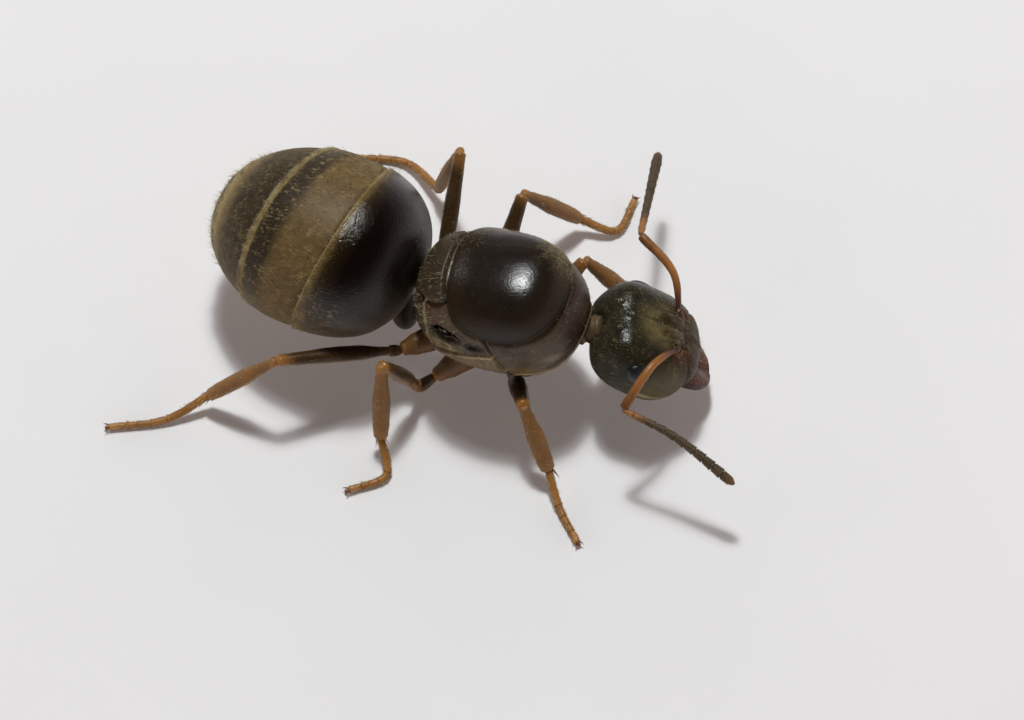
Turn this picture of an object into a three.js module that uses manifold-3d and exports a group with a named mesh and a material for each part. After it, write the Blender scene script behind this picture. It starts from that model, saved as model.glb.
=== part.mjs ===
// A queen ant at life size, standing on six feet with its head lowered and its antennae spread.
// Millimetres, +X towards the head, +Y to the ant's left, +Z up, floor at z = 0.
// Every plate and limb segment is one closed body, parted from its neighbours by a thin seam.
import * as THREE from "three";
import { mergeVertices } from "three/addons/utils/BufferGeometryUtils.js";
import Module from "manifold-3d";

const wasm = await Module();
wasm.setup();

// ---------- driving dimensions ----------
const SEAM = 0.025; // gap between neighbouring plates and segments
const WIDE = 10; // larger than the whole ant, for cutting blocks
const RIGHT = -1;
const LEFT = 1;

// middle body (mesosoma)
const TRUNK = {
  centre: [0, 0, 1.75],
  front: 1.41,
  back: 1.32,
  side: 1.03,
  up: 1.0,
  down: 0.98,
  power: 2.35,
};
const SCUTUM = {
  centre: [0.1, 0, 2.95],
  front: 1.12,
  back: 0.96,
  side: 1.4,
  up: 1.2,
  down: 1.0,
  power: 2.2,
};
const SCUTELLUM = {
  centre: [-0.84, 0, 2.66],
  front: 0.46,
  back: 0.46,
  side: 0.7,
  up: 0.6,
  down: 0.72,
  power: 2.4,
};
const DOME_LIFT = 0.05; // how far the scutum and scutellum swell above the side plates
const COLLAR_AT = { x: 0.34, z: 1.6, lean: 119 }; // seam behind the pronotum
const REAR_AT = { x: -0.86, z: 1.6, lean: 104 }; // seam ahead of the propodeum

// waist (petiole)
const PETIOLE = {
  centre: [-1.53, 0.02, 1.02],
  thickness: 0.2,
  width: 0.84,
  height: 0.98,
  lean: -14,
};
const PETIOLE_STALK = { radius: 0.2, height: 0.84 };

// gaster
const GASTER = {
  centre: [-2.95, 0.28, 1.72],
  yaw: -10,
  pitch: -8,
  front: 1.62,
  back: 1.8,
  side: 1.44,
  up: 1.24,
  down: 1.22,
  frontPower: 2.7,
  backPower: 1.95,
};
// Where each plate's border crosses the long axis, and how far it leans ahead towards the left and
// towards the top, as a share of the distance from the axis.
const TERGITE_EDGES = [
  { x: 1.62, left: 0, top: 0 },
  { x: 0.35, left: 0.085, top: 0.257 },
  { x: -0.54, left: 0.16, top: -0.045 },
  { x: -1.5, left: 0.08, top: -0.06 },
  { x: -1.66, left: 0.03, top: -0.03 },
  { x: -1.8, left: 0, top: 0 },
];
const TERGITE_LIP = 0.025; // each hind margin stands proud of the next plate

// head
const HEAD = {
  centre: [2.22, 0.22, 1.28],
  yaw: 13,
  pitch: 36,
  roll: -5,
  front: 0.88,
  back: 0.86,
  side: 0.86,
  up: 0.62,
  down: 0.56,
  power: 3,
  narrow: 0.2, // share by which the face narrows towards the jaws
  notch: 0.05, // how far the hind margin dips in at the middle
};
const EYE = {
  at: [-0.22, 0.8, 0.24],
  length: 0.47,
  height: 0.38,
  depth: 0.11,
  out: 62,
};
const OCELLUS = { radius: 0.06, front: [-0.6, 0, 0.527], rear: [-0.71, 0.25, 0.442] };
const MANDIBLE = { root: 0.25, tip: 0.1, flat: 0.62 };
const SOCKET = [0.3, 0.27, 0.57]; // where the left antenna springs from the face
const NECK = { radius: 0.26, from: [1.15, 0.02, 1.42], to: [1.66, 0.1, 1.66] };

// antennae
const SCAPE = { length: 1.43, radius: 0.2 };
const FUNICULUS = { length: 2.07, radius: 0.2, segments: 11 };
// each antenna: the heading and rise of its two parts, and how far the middle of each is bowed
const ANTENNAE = [
  {
    side: RIGHT,
    scape: { way: [110.6, 1.5], bow: [0.015, 0.05, 0.32] },
    whip: { way: [13.2, -16], bow: [-0.07, 0.075, 0.13] },
  },
  {
    side: LEFT,
    scape: { way: [133.6, 20.2], bow: [0.19, 0.09, 0.06] },
    whip: { way: [98.4, -21.2], bow: [0.02, -0.12, 0.07] },
  },
];

// legs: segment lengths by pair, then each leg's pose as headings and rises in degrees
const LEG_RADII = { coxa: 0.25, femur: 0.25, tibia: 0.235, tarsus: 0.21 };
const FOOT_SINK = 0.004; // how much of the sole is flattened where it meets the floor
const PAIRS = {
  fore: { coxa: [0.86, 0.36, 1.12], femur: 1.2, tibia: 1.18, tarsus: [0.62, 0.66] },
  mid: { coxa: [-0.2, 0.44, 0.98], femur: 1.5, tibia: 1.5, tarsus: [0.6, 0.64] },
  hind: { coxa: [-0.82, 0.4, 1.02], femur: 2.04, tibia: 1.56, tarsus: [0.74, 0.9] },
};
const LEGS = [
  leg("right_fore", RIGHT, "fore", [0.35, 0.48, 0.62], [63.5, 31.6], [40.5, -52.2], [57, 48]),
  leg("left_fore", LEFT, "fore", [0.42, 0.5, 0.62], [60.8, 28.1], [4.3, -48.2], [-19, -45]),
  leg("right_mid", RIGHT, "mid", [-0.98, 1.04, 0.4], [128.7, 61.7], [74.9, -71.5], [65, 139]),
  leg("left_mid", LEFT, "mid", [-0.38, 0.88, 0.64], [84.9, 34.9], [33.2, -52.5], [2, 81]),
  leg("right_hind", RIGHT, "hind", [-1.37, 0.82, 0.95], [148.7, 14.4], [165.2, -47.4], [134, 155]),
  leg("left_hind", LEFT, "hind", [-1.15, 0.6, 0.85], [97.1, 28.2], [167.6, -75.3], [150, 190]),
];

function leg(name, side, pair, hip, femur, tibia, tarsus) {
  return { name, side, hip, femur, tibia, tarsus, size: PAIRS[pair] };
}

// ---------- materials ----------
const COLOURS = {
  plate: [0x1c140e, 0.28],
  pleuron: [0x3a2d1c, 0.4],
  tergite: [0x3f3420, 0.45],
  shine: [0x1a120c, 0.22],
  head: [0x2a2617, 0.35],
  eye: [0x14161b, 0.2],
  ocellus: [0x8f8a70, 0.15],
  jaw: [0x6b2213, 0.3],
  scape: [0x9a5a24, 0.4],
  whip: [0x3a2722, 0.6],
  coxa: [0x7a4f22, 0.45],
  femur: [0x4a3318, 0.35],
  tibia: [0x8a6230, 0.45],
  tarsus: [0xb0762f, 0.5],
};

function material(key) {
  const [color, roughness] = COLOURS[key];
  return new THREE.MeshStandardMaterial({ color, roughness, metalness: 0 });
}

// ---------- helpers: solids in and out of manifold-3d ----------
function toSolid(geometry) {
  const bare = geometry.clone();
  bare.deleteAttribute("normal");
  bare.deleteAttribute("uv");
  const merged = mergeVertices(bare, 1e-4);
  return new wasm.Manifold(
    new wasm.Mesh({
      numProp: 3,
      vertProperties: merged.attributes.position.array,
      triVerts: new Uint32Array(merged.index.array),
    }),
  );
}

function toGeometry(manifold) {
  const mesh = manifold.getMesh();
  const geometry = new THREE.BufferGeometry();
  const points = new Float32Array(mesh.numVert * 3);
  for (let i = 0; i < mesh.numVert; i += 1) {
    for (let k = 0; k < 3; k += 1) {
      points[3 * i + k] = mesh.vertProperties[mesh.numProp * i + k];
    }
  }
  geometry.setAttribute("position", new THREE.BufferAttribute(points, 3));
  geometry.setIndex(new THREE.BufferAttribute(new Uint32Array(mesh.triVerts), 1));
  geometry.computeVertexNormals();
  return geometry;
}

// The largest body of a solid, so that a cut never leaves crumbs beside the part.
function mainBody(manifold) {
  const pieces = manifold.decompose();
  return pieces.reduce((best, piece) => (piece.volume() > best.volume() ? piece : best));
}

function turned(manifold, matrix) {
  return manifold.transform(matrix.toArray());
}

const degrees = (angle) => THREE.MathUtils.degToRad(angle);

// ---------- helpers: rounded bodies ----------
// A rounded body with its own reach to the front, back, sides, top and underside. The pole of the
// sphere lies along X, so that its rings run round the body.
function ovoid(spec, { rings = 14, spokes = 22, grow = 0 } = {}) {
  const geometry = new THREE.SphereGeometry(1, spokes, rings);
  geometry.rotateZ(-Math.PI / 2);
  const position = geometry.attributes.position;
  const [cx, cy, cz] = spec.centre ?? [0, 0, 0];
  for (let i = 0; i < position.count; i += 1) {
    const x = position.getX(i);
    const y = position.getY(i);
    const z = position.getZ(i);
    const rx = (x > 0 ? spec.front : spec.back) + grow;
    const ry = spec.side + grow;
    const rz = (z > 0 ? spec.up : spec.down) + grow;
    const p = spec.power ?? 2;
    const length = (Math.abs(x) ** p + Math.abs(y) ** p + Math.abs(z) ** p) ** (1 / p);
    const narrowing = 1 - (spec.narrow ?? 0) * Math.max(0, x / length) ** 2;
    const dip = (spec.notch ?? 0) * Math.max(0, -x / length) * Math.max(0, 1 - (2 * y) ** 2);
    const px = (rx * x) / length + dip;
    const py = ((ry * y) / length) * narrowing;
    position.setXYZ(i, cx + px, cy + py, cz + (rz * z) / length);
  }
  return geometry;
}

function ellipsoid(rx, ry, rz, { rings = 8, spokes = 12 } = {}) {
  return ovoid({ front: rx, back: rx, side: ry, up: rz, down: rz }, { rings, spokes });
}

// A block that keeps everything on one side of a leaning plane across the body. lean is the angle
// of the plane above the +X axis; shift moves it along its normal, towards the tail.
function behindPlane({ x, z, lean }, shift = 0) {
  const block = new THREE.BoxGeometry(WIDE, WIDE, WIDE);
  block.translate(-WIDE / 2 - shift, 0, 0);
  block.rotateY(degrees(90 - lean));
  block.translate(x, 0, z);
  return toSolid(block);
}

// ---------- helpers: limbs ----------
const vector = (x, y, z) => new THREE.Vector3(x, y, z);

function reach(start, length, heading, rise, side) {
  const flat = length * Math.cos(degrees(rise));
  return vector(
    start.x + flat * Math.cos(degrees(heading)),
    start.y + side * flat * Math.sin(degrees(heading)),
    start.z + length * Math.sin(degrees(rise)),
  );
}

// A turned body bent along a curve, with rounded ends. radiusAt gives the radius at a share 0..1 of
// the length; grow makes it larger all round, for the hollow it leaves in a neighbour.
function limb(points, radiusAt, { sides = 8, steps = 2, cap = 0.6, flat = 1, grow = 0 } = {}) {
  const curve = new THREE.CatmullRomCurve3(points, false, "centripetal");
  const length = curve.getLength();
  const start = -grow;
  const end = length + grow;
  const r0 = radiusAt(0) + grow;
  const r1 = radiusAt(1) + grow;
  const profile = [new THREE.Vector2(0, start), new THREE.Vector2(r0 * 0.7, start + r0 * cap * 0.3)];
  for (let i = 0; i <= steps; i += 1) {
    const share = i / steps;
    const y = start + r0 * cap + share * (end - start - (r0 + r1) * cap);
    profile.push(new THREE.Vector2(radiusAt(share) + grow, y));
  }
  profile.push(new THREE.Vector2(r1 * 0.7, end - r1 * cap * 0.3), new THREE.Vector2(0, end));
  const geometry = new THREE.LatheGeometry(profile, sides, Math.PI / sides);
  const position = geometry.attributes.position;
  for (let i = 0; i < position.count; i += 1) {
    const share = THREE.MathUtils.clamp(position.getY(i) / length, 0, 1);
    const along = curve.getTangentAt(share);
    const across = vector(-along.y, along.x, 0).normalize();
    const upward = vector(0, 0, 0).crossVectors(along, across);
    const point = curve.getPointAt(share).addScaledVector(along, position.getY(i) - share * length);
    point.addScaledVector(across, position.getX(i));
    point.addScaledVector(upward, -position.getZ(i) * flat);
    position.setXYZ(i, point.x, point.y, point.z);
  }
  return geometry;
}

// A chain of limbs that meet at joints: each one is hollowed where the one before it ends.
function chain(links) {
  let before = null;
  return links.map(({ path, radius, options, flatten }) => {
    let body = toSolid(flatten ? flattened(limb(path, radius, options)) : limb(path, radius, options));
    if (before) {
      body = body.subtract(before);
    }
    before = toSolid(limb(path, radius, { ...options, grow: SEAM }));
    return mainBody(body);
  });
}

// The sole: whatever would sink below the floor lies flat on it.
function flattened(geometry) {
  const position = geometry.attributes.position;
  for (let i = 0; i < position.count; i += 1) {
    position.setZ(i, Math.max(0, position.getZ(i)));
  }
  return geometry;
}

const swell = (ends, middle) => (share) => ends + (middle - ends) * Math.sin(Math.PI * share) ** 0.8;
const taper = (from, to) => (share) => from + (to - from) * share;

// ---------- assembly ----------
const ant = new THREE.Group();
ant.name = "ant";

function place(parent, name, geometry, key) {
  const mesh = new THREE.Mesh(geometry, material(key));
  mesh.name = name;
  parent.add(mesh);
  return mesh;
}

// Middle body: one rounded trunk, parted into its plates.
const trunkBody = toSolid(ovoid(TRUNK));
const trunkAround = toSolid(ovoid(TRUNK, { grow: SEAM }));
const domeBody = toSolid(ovoid(TRUNK, { grow: DOME_LIFT }));
const scutumRegion = toSolid(ovoid(SCUTUM, { rings: 12, spokes: 20 }));
const scutumAround = toSolid(ovoid(SCUTUM, { rings: 12, spokes: 20, grow: SEAM }));
const scutellumRegion = toSolid(ovoid(SCUTELLUM, { rings: 10, spokes: 16 }));
const scutellumAround = toSolid(ovoid(SCUTELLUM, { rings: 10, spokes: 16, grow: SEAM }));
const lowerTrunk = trunkBody.subtract(scutumAround).subtract(scutellumAround);
const behindCollar = behindPlane(COLLAR_AT, SEAM);
const behindRear = behindPlane(REAR_AT);

const scutum = domeBody.intersect(scutumRegion);
const scutellum = domeBody.intersect(scutellumRegion).subtract(scutumAround);
const pronotum = lowerTrunk.subtract(behindPlane(COLLAR_AT));
const pleura = lowerTrunk.intersect(behindCollar).subtract(behindRear);
const propodeum = lowerTrunk.intersect(behindPlane(REAR_AT, SEAM));

place(ant, "mesoscutum", toGeometry(mainBody(scutum)), "plate");
place(ant, "scutellum", toGeometry(mainBody(scutellum)), "plate");
place(ant, "pronotum", toGeometry(mainBody(pronotum)), "pleuron");
place(ant, "mesopleura", toGeometry(mainBody(pleura)), "pleuron");
place(ant, "propodeum", toGeometry(mainBody(propodeum)), "pleuron");

// Gaster: five plates turned about its own long axis, each with a lip over the next.
function gasterShare(x) {
  const reachAlong = x > 0 ? GASTER.front : GASTER.back;
  const power = x > 0 ? GASTER.frontPower : GASTER.backPower;
  return Math.max(0, 1 - (Math.abs(x) / reachAlong) ** power) ** (1 / power);
}

function tergite(index, { rings = index < 2 ? 4 : 3, spokes = 24 } = {}) {
  const [ahead, behind] = [TERGITE_EDGES[index], TERGITE_EDGES[index + 1]];
  const front = ahead.x - (index ? SEAM : 0);
  const back = behind.x;
  const last = index === TERGITE_EDGES.length - 2;
  const lip = last ? 0 : TERGITE_LIP;
  const profile = [new THREE.Vector2(0, back)];
  for (let i = 0; i <= rings; i += 1) {
    const even = i / rings;
    const rounded = index ? even ** 2 : Math.sin(even * (Math.PI / 2));
    const share = last || !index ? rounded : even;
    const x = back + share * (front - back);
    const proud = lip * (1 - even);
    profile.push(new THREE.Vector2(gasterShare(x) + (gasterShare(x) ? proud : 0), x));
  }
  if (profile.at(-1).x > 0) {
    profile.push(new THREE.Vector2(0, front));
  }
  if (profile[1].x === 0) {
    profile.shift();
  }
  const geometry = new THREE.LatheGeometry(profile, spokes);
  geometry.rotateZ(-Math.PI / 2);
  const position = geometry.attributes.position;
  for (let i = 0; i < position.count; i += 1) {
    const x = position.getX(i);
    const y = position.getY(i) * GASTER.side;
    const z = position.getZ(i) * (position.getZ(i) > 0 ? GASTER.up : GASTER.down);
    const share = (front - x) / (front - back);
    const left = ahead.left + (behind.left - ahead.left) * share;
    const top = ahead.top + (behind.top - ahead.top) * share;
    const leant = x + left * y + top * z;
    const fit = gasterShare(x) ? gasterShare(leant) / gasterShare(x) : 1;
    position.setXYZ(i, leant, y * fit, z * fit);
  }
  return geometry;
}

const gaster = new THREE.Group();
gaster.position.set(...GASTER.centre);
gaster.rotation.set(0, degrees(GASTER.pitch), degrees(GASTER.yaw), "ZYX");
ant.add(gaster);
gaster.updateMatrix();

// Waist: an upright scale on a short stalk, under the front of the gaster.
const scaleShape = ellipsoid(PETIOLE.thickness, PETIOLE.width / 2, PETIOLE.height / 2);
scaleShape.rotateY(degrees(PETIOLE.lean));
scaleShape.translate(...PETIOLE.centre);
const stalk = limb(
  [vector(-1.1, 0, PETIOLE_STALK.height), vector(-1.95, 0.08, PETIOLE_STALK.height)],
  () => PETIOLE_STALK.radius,
);
const firstTergite = toSolid(tergite(0));
const gasterAround = turned(firstTergite, gaster.matrix.clone().scale(vector(1.02, 1.02, 1.02)));
const petiole = toSolid(scaleShape).add(toSolid(stalk)).subtract(trunkAround);
place(ant, "petiole", toGeometry(mainBody(petiole.subtract(gasterAround))), "plate");

for (let i = 0; i < TERGITE_EDGES.length - 1; i += 1) {
  place(gaster, `gaster_tergite_${i + 1}`, tergite(i), i ? "tergite" : "shine");
}

// Head: capsule with eyes in sockets, three simple eyes and two jaws, all in the head's own frame.
const head = new THREE.Group();
head.position.set(...HEAD.centre);
head.rotation.set(degrees(HEAD.roll), degrees(HEAD.pitch), degrees(HEAD.yaw), "ZYX");
ant.add(head);
head.updateMatrix();

const headSpec = { ...HEAD, centre: [0, 0, 0] };
let capsule = toSolid(ovoid(headSpec, { rings: 13, spokes: 20 }));
const capsuleAround = toSolid(ovoid(headSpec, { rings: 13, spokes: 20, grow: SEAM }));

function eyeGeometry(side, grow = 0) {
  const eye = ellipsoid(EYE.length / 2 + grow, EYE.height / 2 + grow, EYE.depth + grow);
  eye.rotateX(degrees(-side * EYE.out));
  eye.translate(EYE.at[0], side * EYE.at[1], EYE.at[2]);
  return eye;
}

function ocellusGeometry([x, y, z], grow = 0) {
  const r = OCELLUS.radius + grow;
  return ellipsoid(r, r, r, { rings: 5, spokes: 8 }).translate(x, y, z);
}

const ocelli = {
  front: OCELLUS.front,
  left: OCELLUS.rear,
  right: [OCELLUS.rear[0], -OCELLUS.rear[1], OCELLUS.rear[2]],
};
for (const side of [RIGHT, LEFT]) {
  capsule = capsule.subtract(toSolid(eyeGeometry(side, SEAM)));
  place(head, side === LEFT ? "eye_left" : "eye_right", eyeGeometry(side), "eye");
}
for (const [name, spot] of Object.entries(ocelli)) {
  capsule = capsule.subtract(toSolid(ocellusGeometry(spot, SEAM)));
  place(head, `ocellus_${name}`, ocellusGeometry(spot), "ocellus");
}
for (const side of [RIGHT, LEFT]) {
  const path = [
    vector(0.5, side * 0.42, -0.02),
    vector(0.94, side * 0.38, -0.06),
    vector(1.28, side * 0.14, -0.08),
  ];
  const options = { sides: 10, steps: 4, flat: MANDIBLE.flat };
  const jaw = limb(path, taper(MANDIBLE.root, MANDIBLE.tip), options);
  const solid = toSolid(jaw).subtract(capsuleAround);
  place(head, side === LEFT ? "mandible_left" : "mandible_right", toGeometry(mainBody(solid)), "jaw");
}
place(head, "head", toGeometry(mainBody(capsule)), "head");
const headAround = turned(capsuleAround, head.matrix);
const neck = toSolid(limb([vector(...NECK.from), vector(...NECK.to)], () => NECK.radius, { sides: 8 }));
place(ant, "neck", toGeometry(mainBody(neck.subtract(trunkAround).subtract(headAround))), "pleuron");

// Antennae: an elbowed scape and an eleven-ringed funiculus on each side.
for (const { side, scape, whip } of ANTENNAE) {
  const name = side === LEFT ? "left" : "right";
  const root = vector(SOCKET[0], side * SOCKET[1], SOCKET[2]).applyMatrix4(head.matrix);
  const elbow = reach(root, SCAPE.length, ...scape.way, side);
  const tip = reach(elbow, FUNICULUS.length, ...whip.way, side);
  const middle = root.clone().lerp(elbow, 0.5).add(vector(...scape.bow));
  const rings = 2 * FUNICULUS.segments;
  const ringed = (share) =>
    FUNICULUS.radius * (0.96 + 0.06 * Math.cos(2 * Math.PI * FUNICULUS.segments * share));
  const half = elbow.clone().lerp(tip, 0.5).add(vector(...whip.bow));
  const [scapeBody, whipBody] = chain([
    {
      path: [root, middle, elbow],
      radius: swell(SCAPE.radius * 0.92, SCAPE.radius),
      options: { steps: 4 },
    },
    { path: [elbow, half, tip], radius: ringed, options: { steps: rings, sides: 6 } },
  ]);
  place(ant, `scape_${name}`, toGeometry(mainBody(scapeBody.subtract(headAround))), "scape");
  place(ant, `funiculus_${name}`, toGeometry(whipBody), "whip");
}

// Legs: coxa, femur, tibia and a tarsus that lies flat on the floor.
for (const { name, side, hip, femur, tibia, tarsus, size } of LEGS) {
  const root = vector(size.coxa[0], side * size.coxa[1], size.coxa[2]);
  const joint = vector(hip[0], side * hip[1], hip[2]);
  const knee = reach(joint, size.femur, femur[0], femur[1], side);
  const ankle = reach(knee, size.tibia, tibia[0], tibia[1], side);
  const sole = LEG_RADII.tarsus * Math.cos(Math.PI / 8) - FOOT_SINK;
  const ball = reach(ankle, size.tarsus[0], tarsus[0], 0, side).setZ(sole);
  const toe = reach(ball, size.tarsus[1], tarsus[1], 0, side).setZ(sole);

  const [coxaBody, femurBody, tibiaBody, tarsusBody] = chain([
    { path: [root, joint], radius: taper(LEG_RADII.coxa, LEG_RADII.coxa * 0.9) },
    { path: [joint, knee], radius: swell(LEG_RADII.femur * 0.9, LEG_RADII.femur) },
    { path: [knee, ankle], radius: swell(LEG_RADII.tibia * 0.9, LEG_RADII.tibia) },
    {
      path: [ankle, ball, toe],
      radius: taper(LEG_RADII.tarsus, LEG_RADII.tarsus),
      options: { steps: 5 },
      flatten: true,
    },
  ]);
  place(ant, `${name}_coxa`, toGeometry(mainBody(coxaBody.subtract(trunkAround))), "coxa");
  place(ant, `${name}_femur`, toGeometry(femurBody), "femur");
  place(ant, `${name}_tibia`, toGeometry(tibiaBody), "tibia");
  place(ant, `${name}_tarsus`, toGeometry(tarsusBody), "tarsus");
}

// The origin is under the middle of the whole ant, on the floor.
const box = new THREE.Box3().setFromObject(ant, true);
const middle = box.getCenter(vector(0, 0, 0));
ant.position.set(-middle.x, -middle.y, -box.min.z);

const part = new THREE.Group();
part.name = "part";
part.add(ant);

export default part;
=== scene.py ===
import functools
import math

import bpy
import numpy as np
from mathutils import Matrix, Vector


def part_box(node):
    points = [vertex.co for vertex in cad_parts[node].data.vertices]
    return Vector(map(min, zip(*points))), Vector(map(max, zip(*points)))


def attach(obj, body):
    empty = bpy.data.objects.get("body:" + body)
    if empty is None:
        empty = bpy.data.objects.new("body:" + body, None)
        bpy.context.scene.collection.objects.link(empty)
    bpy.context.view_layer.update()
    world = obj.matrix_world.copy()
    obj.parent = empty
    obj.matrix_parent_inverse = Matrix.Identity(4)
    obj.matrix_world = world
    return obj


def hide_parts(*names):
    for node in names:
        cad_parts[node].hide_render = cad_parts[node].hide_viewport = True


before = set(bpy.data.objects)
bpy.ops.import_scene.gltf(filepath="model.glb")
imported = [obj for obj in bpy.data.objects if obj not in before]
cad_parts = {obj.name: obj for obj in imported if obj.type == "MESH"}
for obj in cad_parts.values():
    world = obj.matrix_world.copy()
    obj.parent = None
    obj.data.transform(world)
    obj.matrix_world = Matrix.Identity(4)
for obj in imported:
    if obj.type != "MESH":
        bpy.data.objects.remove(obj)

bl_info = {
    "name": "Queen Ant",
    "version": (1, 0, 0),
    "blender": (4, 5, 0),
    "location": "3D View > Sidebar > Queen Ant",
    "description": "Shell plates, eyes, jaws, limbs and hairs of a still queen ant, on its solid model",
    "category": "Add Mesh",
}

# Lengths below are millimetres in the ant's own frame: +X towards the head, +Y to its left, +Z up,
# with the middle of the thorax over the origin. They are moved and scaled when a mesh is made.
MM = 0.001
RIGHT, LEFT = -1, 1
SIDES = {RIGHT: "right", LEFT: "left"}

# ---------- sizes shared with the solid model ----------
TRUNK = dict(centre=(0, 0, 1.75), front=1.41, back=1.32, side=1.03, up=1.0, down=0.98, power=2.35)
SCUTUM = dict(centre=(0.1, 0, 2.95), front=1.12, back=0.96, side=1.4, up=1.2, down=1.0, power=2.2)
SCUTELLUM = dict(centre=(-0.84, 0, 2.66), front=0.46, back=0.46, side=0.7, up=0.6, down=0.72, power=2.4)
DOME_LIFT = 0.05
DOME_TUCK = (0.03, 0.08)  # how far a dome's rim turns in under it, as shares of the way to the middle
COLLAR_SEAM = dict(x=0.34, z=1.6, lean=119)
REAR_SEAM = dict(x=-0.86, z=1.6, lean=104)
PETIOLE = dict(centre=(-1.53, 0.02, 1.02), front=0.2, back=0.2, side=0.42, up=0.49, down=0.49, power=2.2)
PETIOLE_LEAN = -14
STALK = ((-1.1, 0, 0.84), (-1.95, 0.08, 0.84))
GASTER = dict(centre=(-2.95, 0.28, 1.72), yaw=-10, pitch=-8, roll=0)
GASTER_REACH = dict(front=1.62, back=1.8, side=1.44, up=1.24, down=1.22)
GASTER_POWER = dict(front=2.7, back=1.95)
# where each gaster plate's border crosses the long axis, and how far it leans ahead towards the left
# and towards the top, as a share of the distance from the axis
TERGITE_EDGES = (
    (1.62, 0, 0), (0.35, 0.085, 0.257), (-0.54, 0.16, -0.045),
    (-1.5, 0.08, -0.06), (-1.66, 0.03, -0.03), (-1.8, 0, 0),
)
HEAD = dict(centre=(2.22, 0.22, 1.28), yaw=13, pitch=36, roll=-5)
CAPSULE = dict(front=0.88, back=0.86, side=0.86, up=0.62, down=0.56, power=3, narrow=0.2, notch=0.05)
EYE = dict(at=(-0.22, 0.8, 0.24), length=0.47, height=0.38, depth=0.11, out=62)
EYE_SHOWS = 0.87  # the share of the eye's solid that shows inside its rim
OCELLI = {"front": (-0.6, 0, 0.527), "left": (-0.71, 0.25, 0.442), "right": (-0.71, -0.25, 0.442)}
SOCKET = (0.3, 0.27, 0.57)
NECK = ((1.15, 0.02, 1.42), (1.66, 0.1, 1.66))
SCAPE_LENGTH = 1.43
WHIP_LENGTH = 2.07
ANTENNAE = {  # the scape's heading and rise and how far its middle is bowed, then the whip's
    RIGHT: ((110.6, 1.5), (0.015, 0.05, 0.32), (13.2, -16), (-0.07, 0.075, 0.13)),
    LEFT: ((133.6, 20.2), (0.19, 0.09, 0.06), (98.4, -21.2), (0.02, -0.12, 0.07)),
}
WHIP_RINGS = (0.095, 0.0875)  # where along the whip its first joint is, and how far apart they are
LEG_SIZES = {  # where the coxa starts, then the lengths of the other parts
    "fore": dict(coxa=(0.86, 0.36, 1.12), femur=1.2, tibia=1.18, tarsus=(0.62, 0.66)),
    "mid": dict(coxa=(-0.2, 0.44, 0.98), femur=1.5, tibia=1.5, tarsus=(0.6, 0.64)),
    "hind": dict(coxa=(-0.82, 0.4, 1.02), femur=2.04, tibia=1.56, tarsus=(0.74, 0.9)),
}
LEG_POSES = {  # the hip, then headings and rises of femur and tibia, and two headings of the tarsus
    (RIGHT, "fore"): ((0.35, 0.48, 0.62), (63.5, 31.6), (40.5, -52.2), (57, 48)),
    (LEFT, "fore"): ((0.42, 0.5, 0.62), (60.8, 28.1), (4.3, -48.2), (-19, -45)),
    (RIGHT, "mid"): ((-0.98, 1.04, 0.4), (128.7, 61.7), (74.9, -71.5), (65, 139)),
    (LEFT, "mid"): ((-0.38, 0.88, 0.64), (84.9, 34.9), (33.2, -52.5), (2, 81)),
    (RIGHT, "hind"): ((-1.37, 0.82, 0.95), (148.7, 14.4), (165.2, -47.4), (134, 155)),
    (LEFT, "hind"): ((-1.15, 0.6, 0.85), (97.1, 28.2), (167.6, -75.3), (150, 190)),
}
TROCHANTER_BACK = {(RIGHT, "mid"): 0.3}  # how far the trochanter reaches back from the hip, if not 0.03
FOOT_HEIGHT = (0.088, 0.066)  # the slim foot's middle line over the floor, at its ball and at its tip
FOOT_ASIDE = (-0.02, 0.06)  # where it lies across its thick solid


def frame_shift():
    """From the ant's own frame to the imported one: the collar's front and the scutum's middle fix it."""
    low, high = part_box("mesoscutum")
    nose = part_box("pronotum")[1][0] / MM
    return np.array((nose - TRUNK["front"], (low[1] + high[1]) / 2 / MM, 0.0))


SHIFT = frame_shift()


# ---------- numbers ----------
def smooth(value, low, high):
    """0 below low and 1 above high, with a soft rise between."""
    share = np.clip((value - low) / (high - low), 0, 1)
    return share * share * (3 - 2 * share)


def bell(value, width):
    """1 at zero, falling away on both sides within about the width."""
    return np.exp(-((value / width) ** 2))


def within(value, low, high, soft):
    """1 between low and high, with soft ends."""
    return smooth(value, low - soft, low + soft) * (1 - smooth(value, high - soft, high + soft))


def unit(vectors):
    """Each vector at length 1."""
    length = np.linalg.norm(vectors, axis=-1, keepdims=True)
    return vectors / np.maximum(length, 1e-12)


def through(share, stops):
    """A smooth curve through (share, value) stops."""
    places, values = np.array(stops, float).T
    index = np.clip(np.searchsorted(places, share, side="right") - 1, 0, len(places) - 2)
    local = np.clip((share - places[index]) / (places[index + 1] - places[index]), 0, 1)
    ease = local * local * (3 - 2 * local)
    return values[index] + (values[index + 1] - values[index]) * ease


def stacked(*parts):
    """Vectors from their parts."""
    return np.stack(parts, axis=-1)


def run_along(line):
    """How far along a line each of its points is."""
    return np.concatenate(((0,), np.cumsum(np.linalg.norm(np.diff(line, axis=0), axis=1))))


def points_at(places, run, line):
    """The points of a line at places along it."""
    return stacked(*(np.interp(places, run, part) for part in line.T))


def spoke_angles(spokes):
    """Even turns round a ring."""
    return np.linspace(0, 2 * math.pi, spokes, endpoint=False)


def pole_to_pole(rings, clear):
    """Even angles from one pole of a body to the other, a column, starting a little clear of each."""
    return np.linspace(clear, math.pi - clear, rings)[:, None]


def around_x(polar, angle):
    """Unit directions with their pole along X."""
    return stacked(np.cos(polar) + 0 * angle, np.sin(polar) * np.cos(angle), np.sin(polar) * np.sin(angle))


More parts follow.
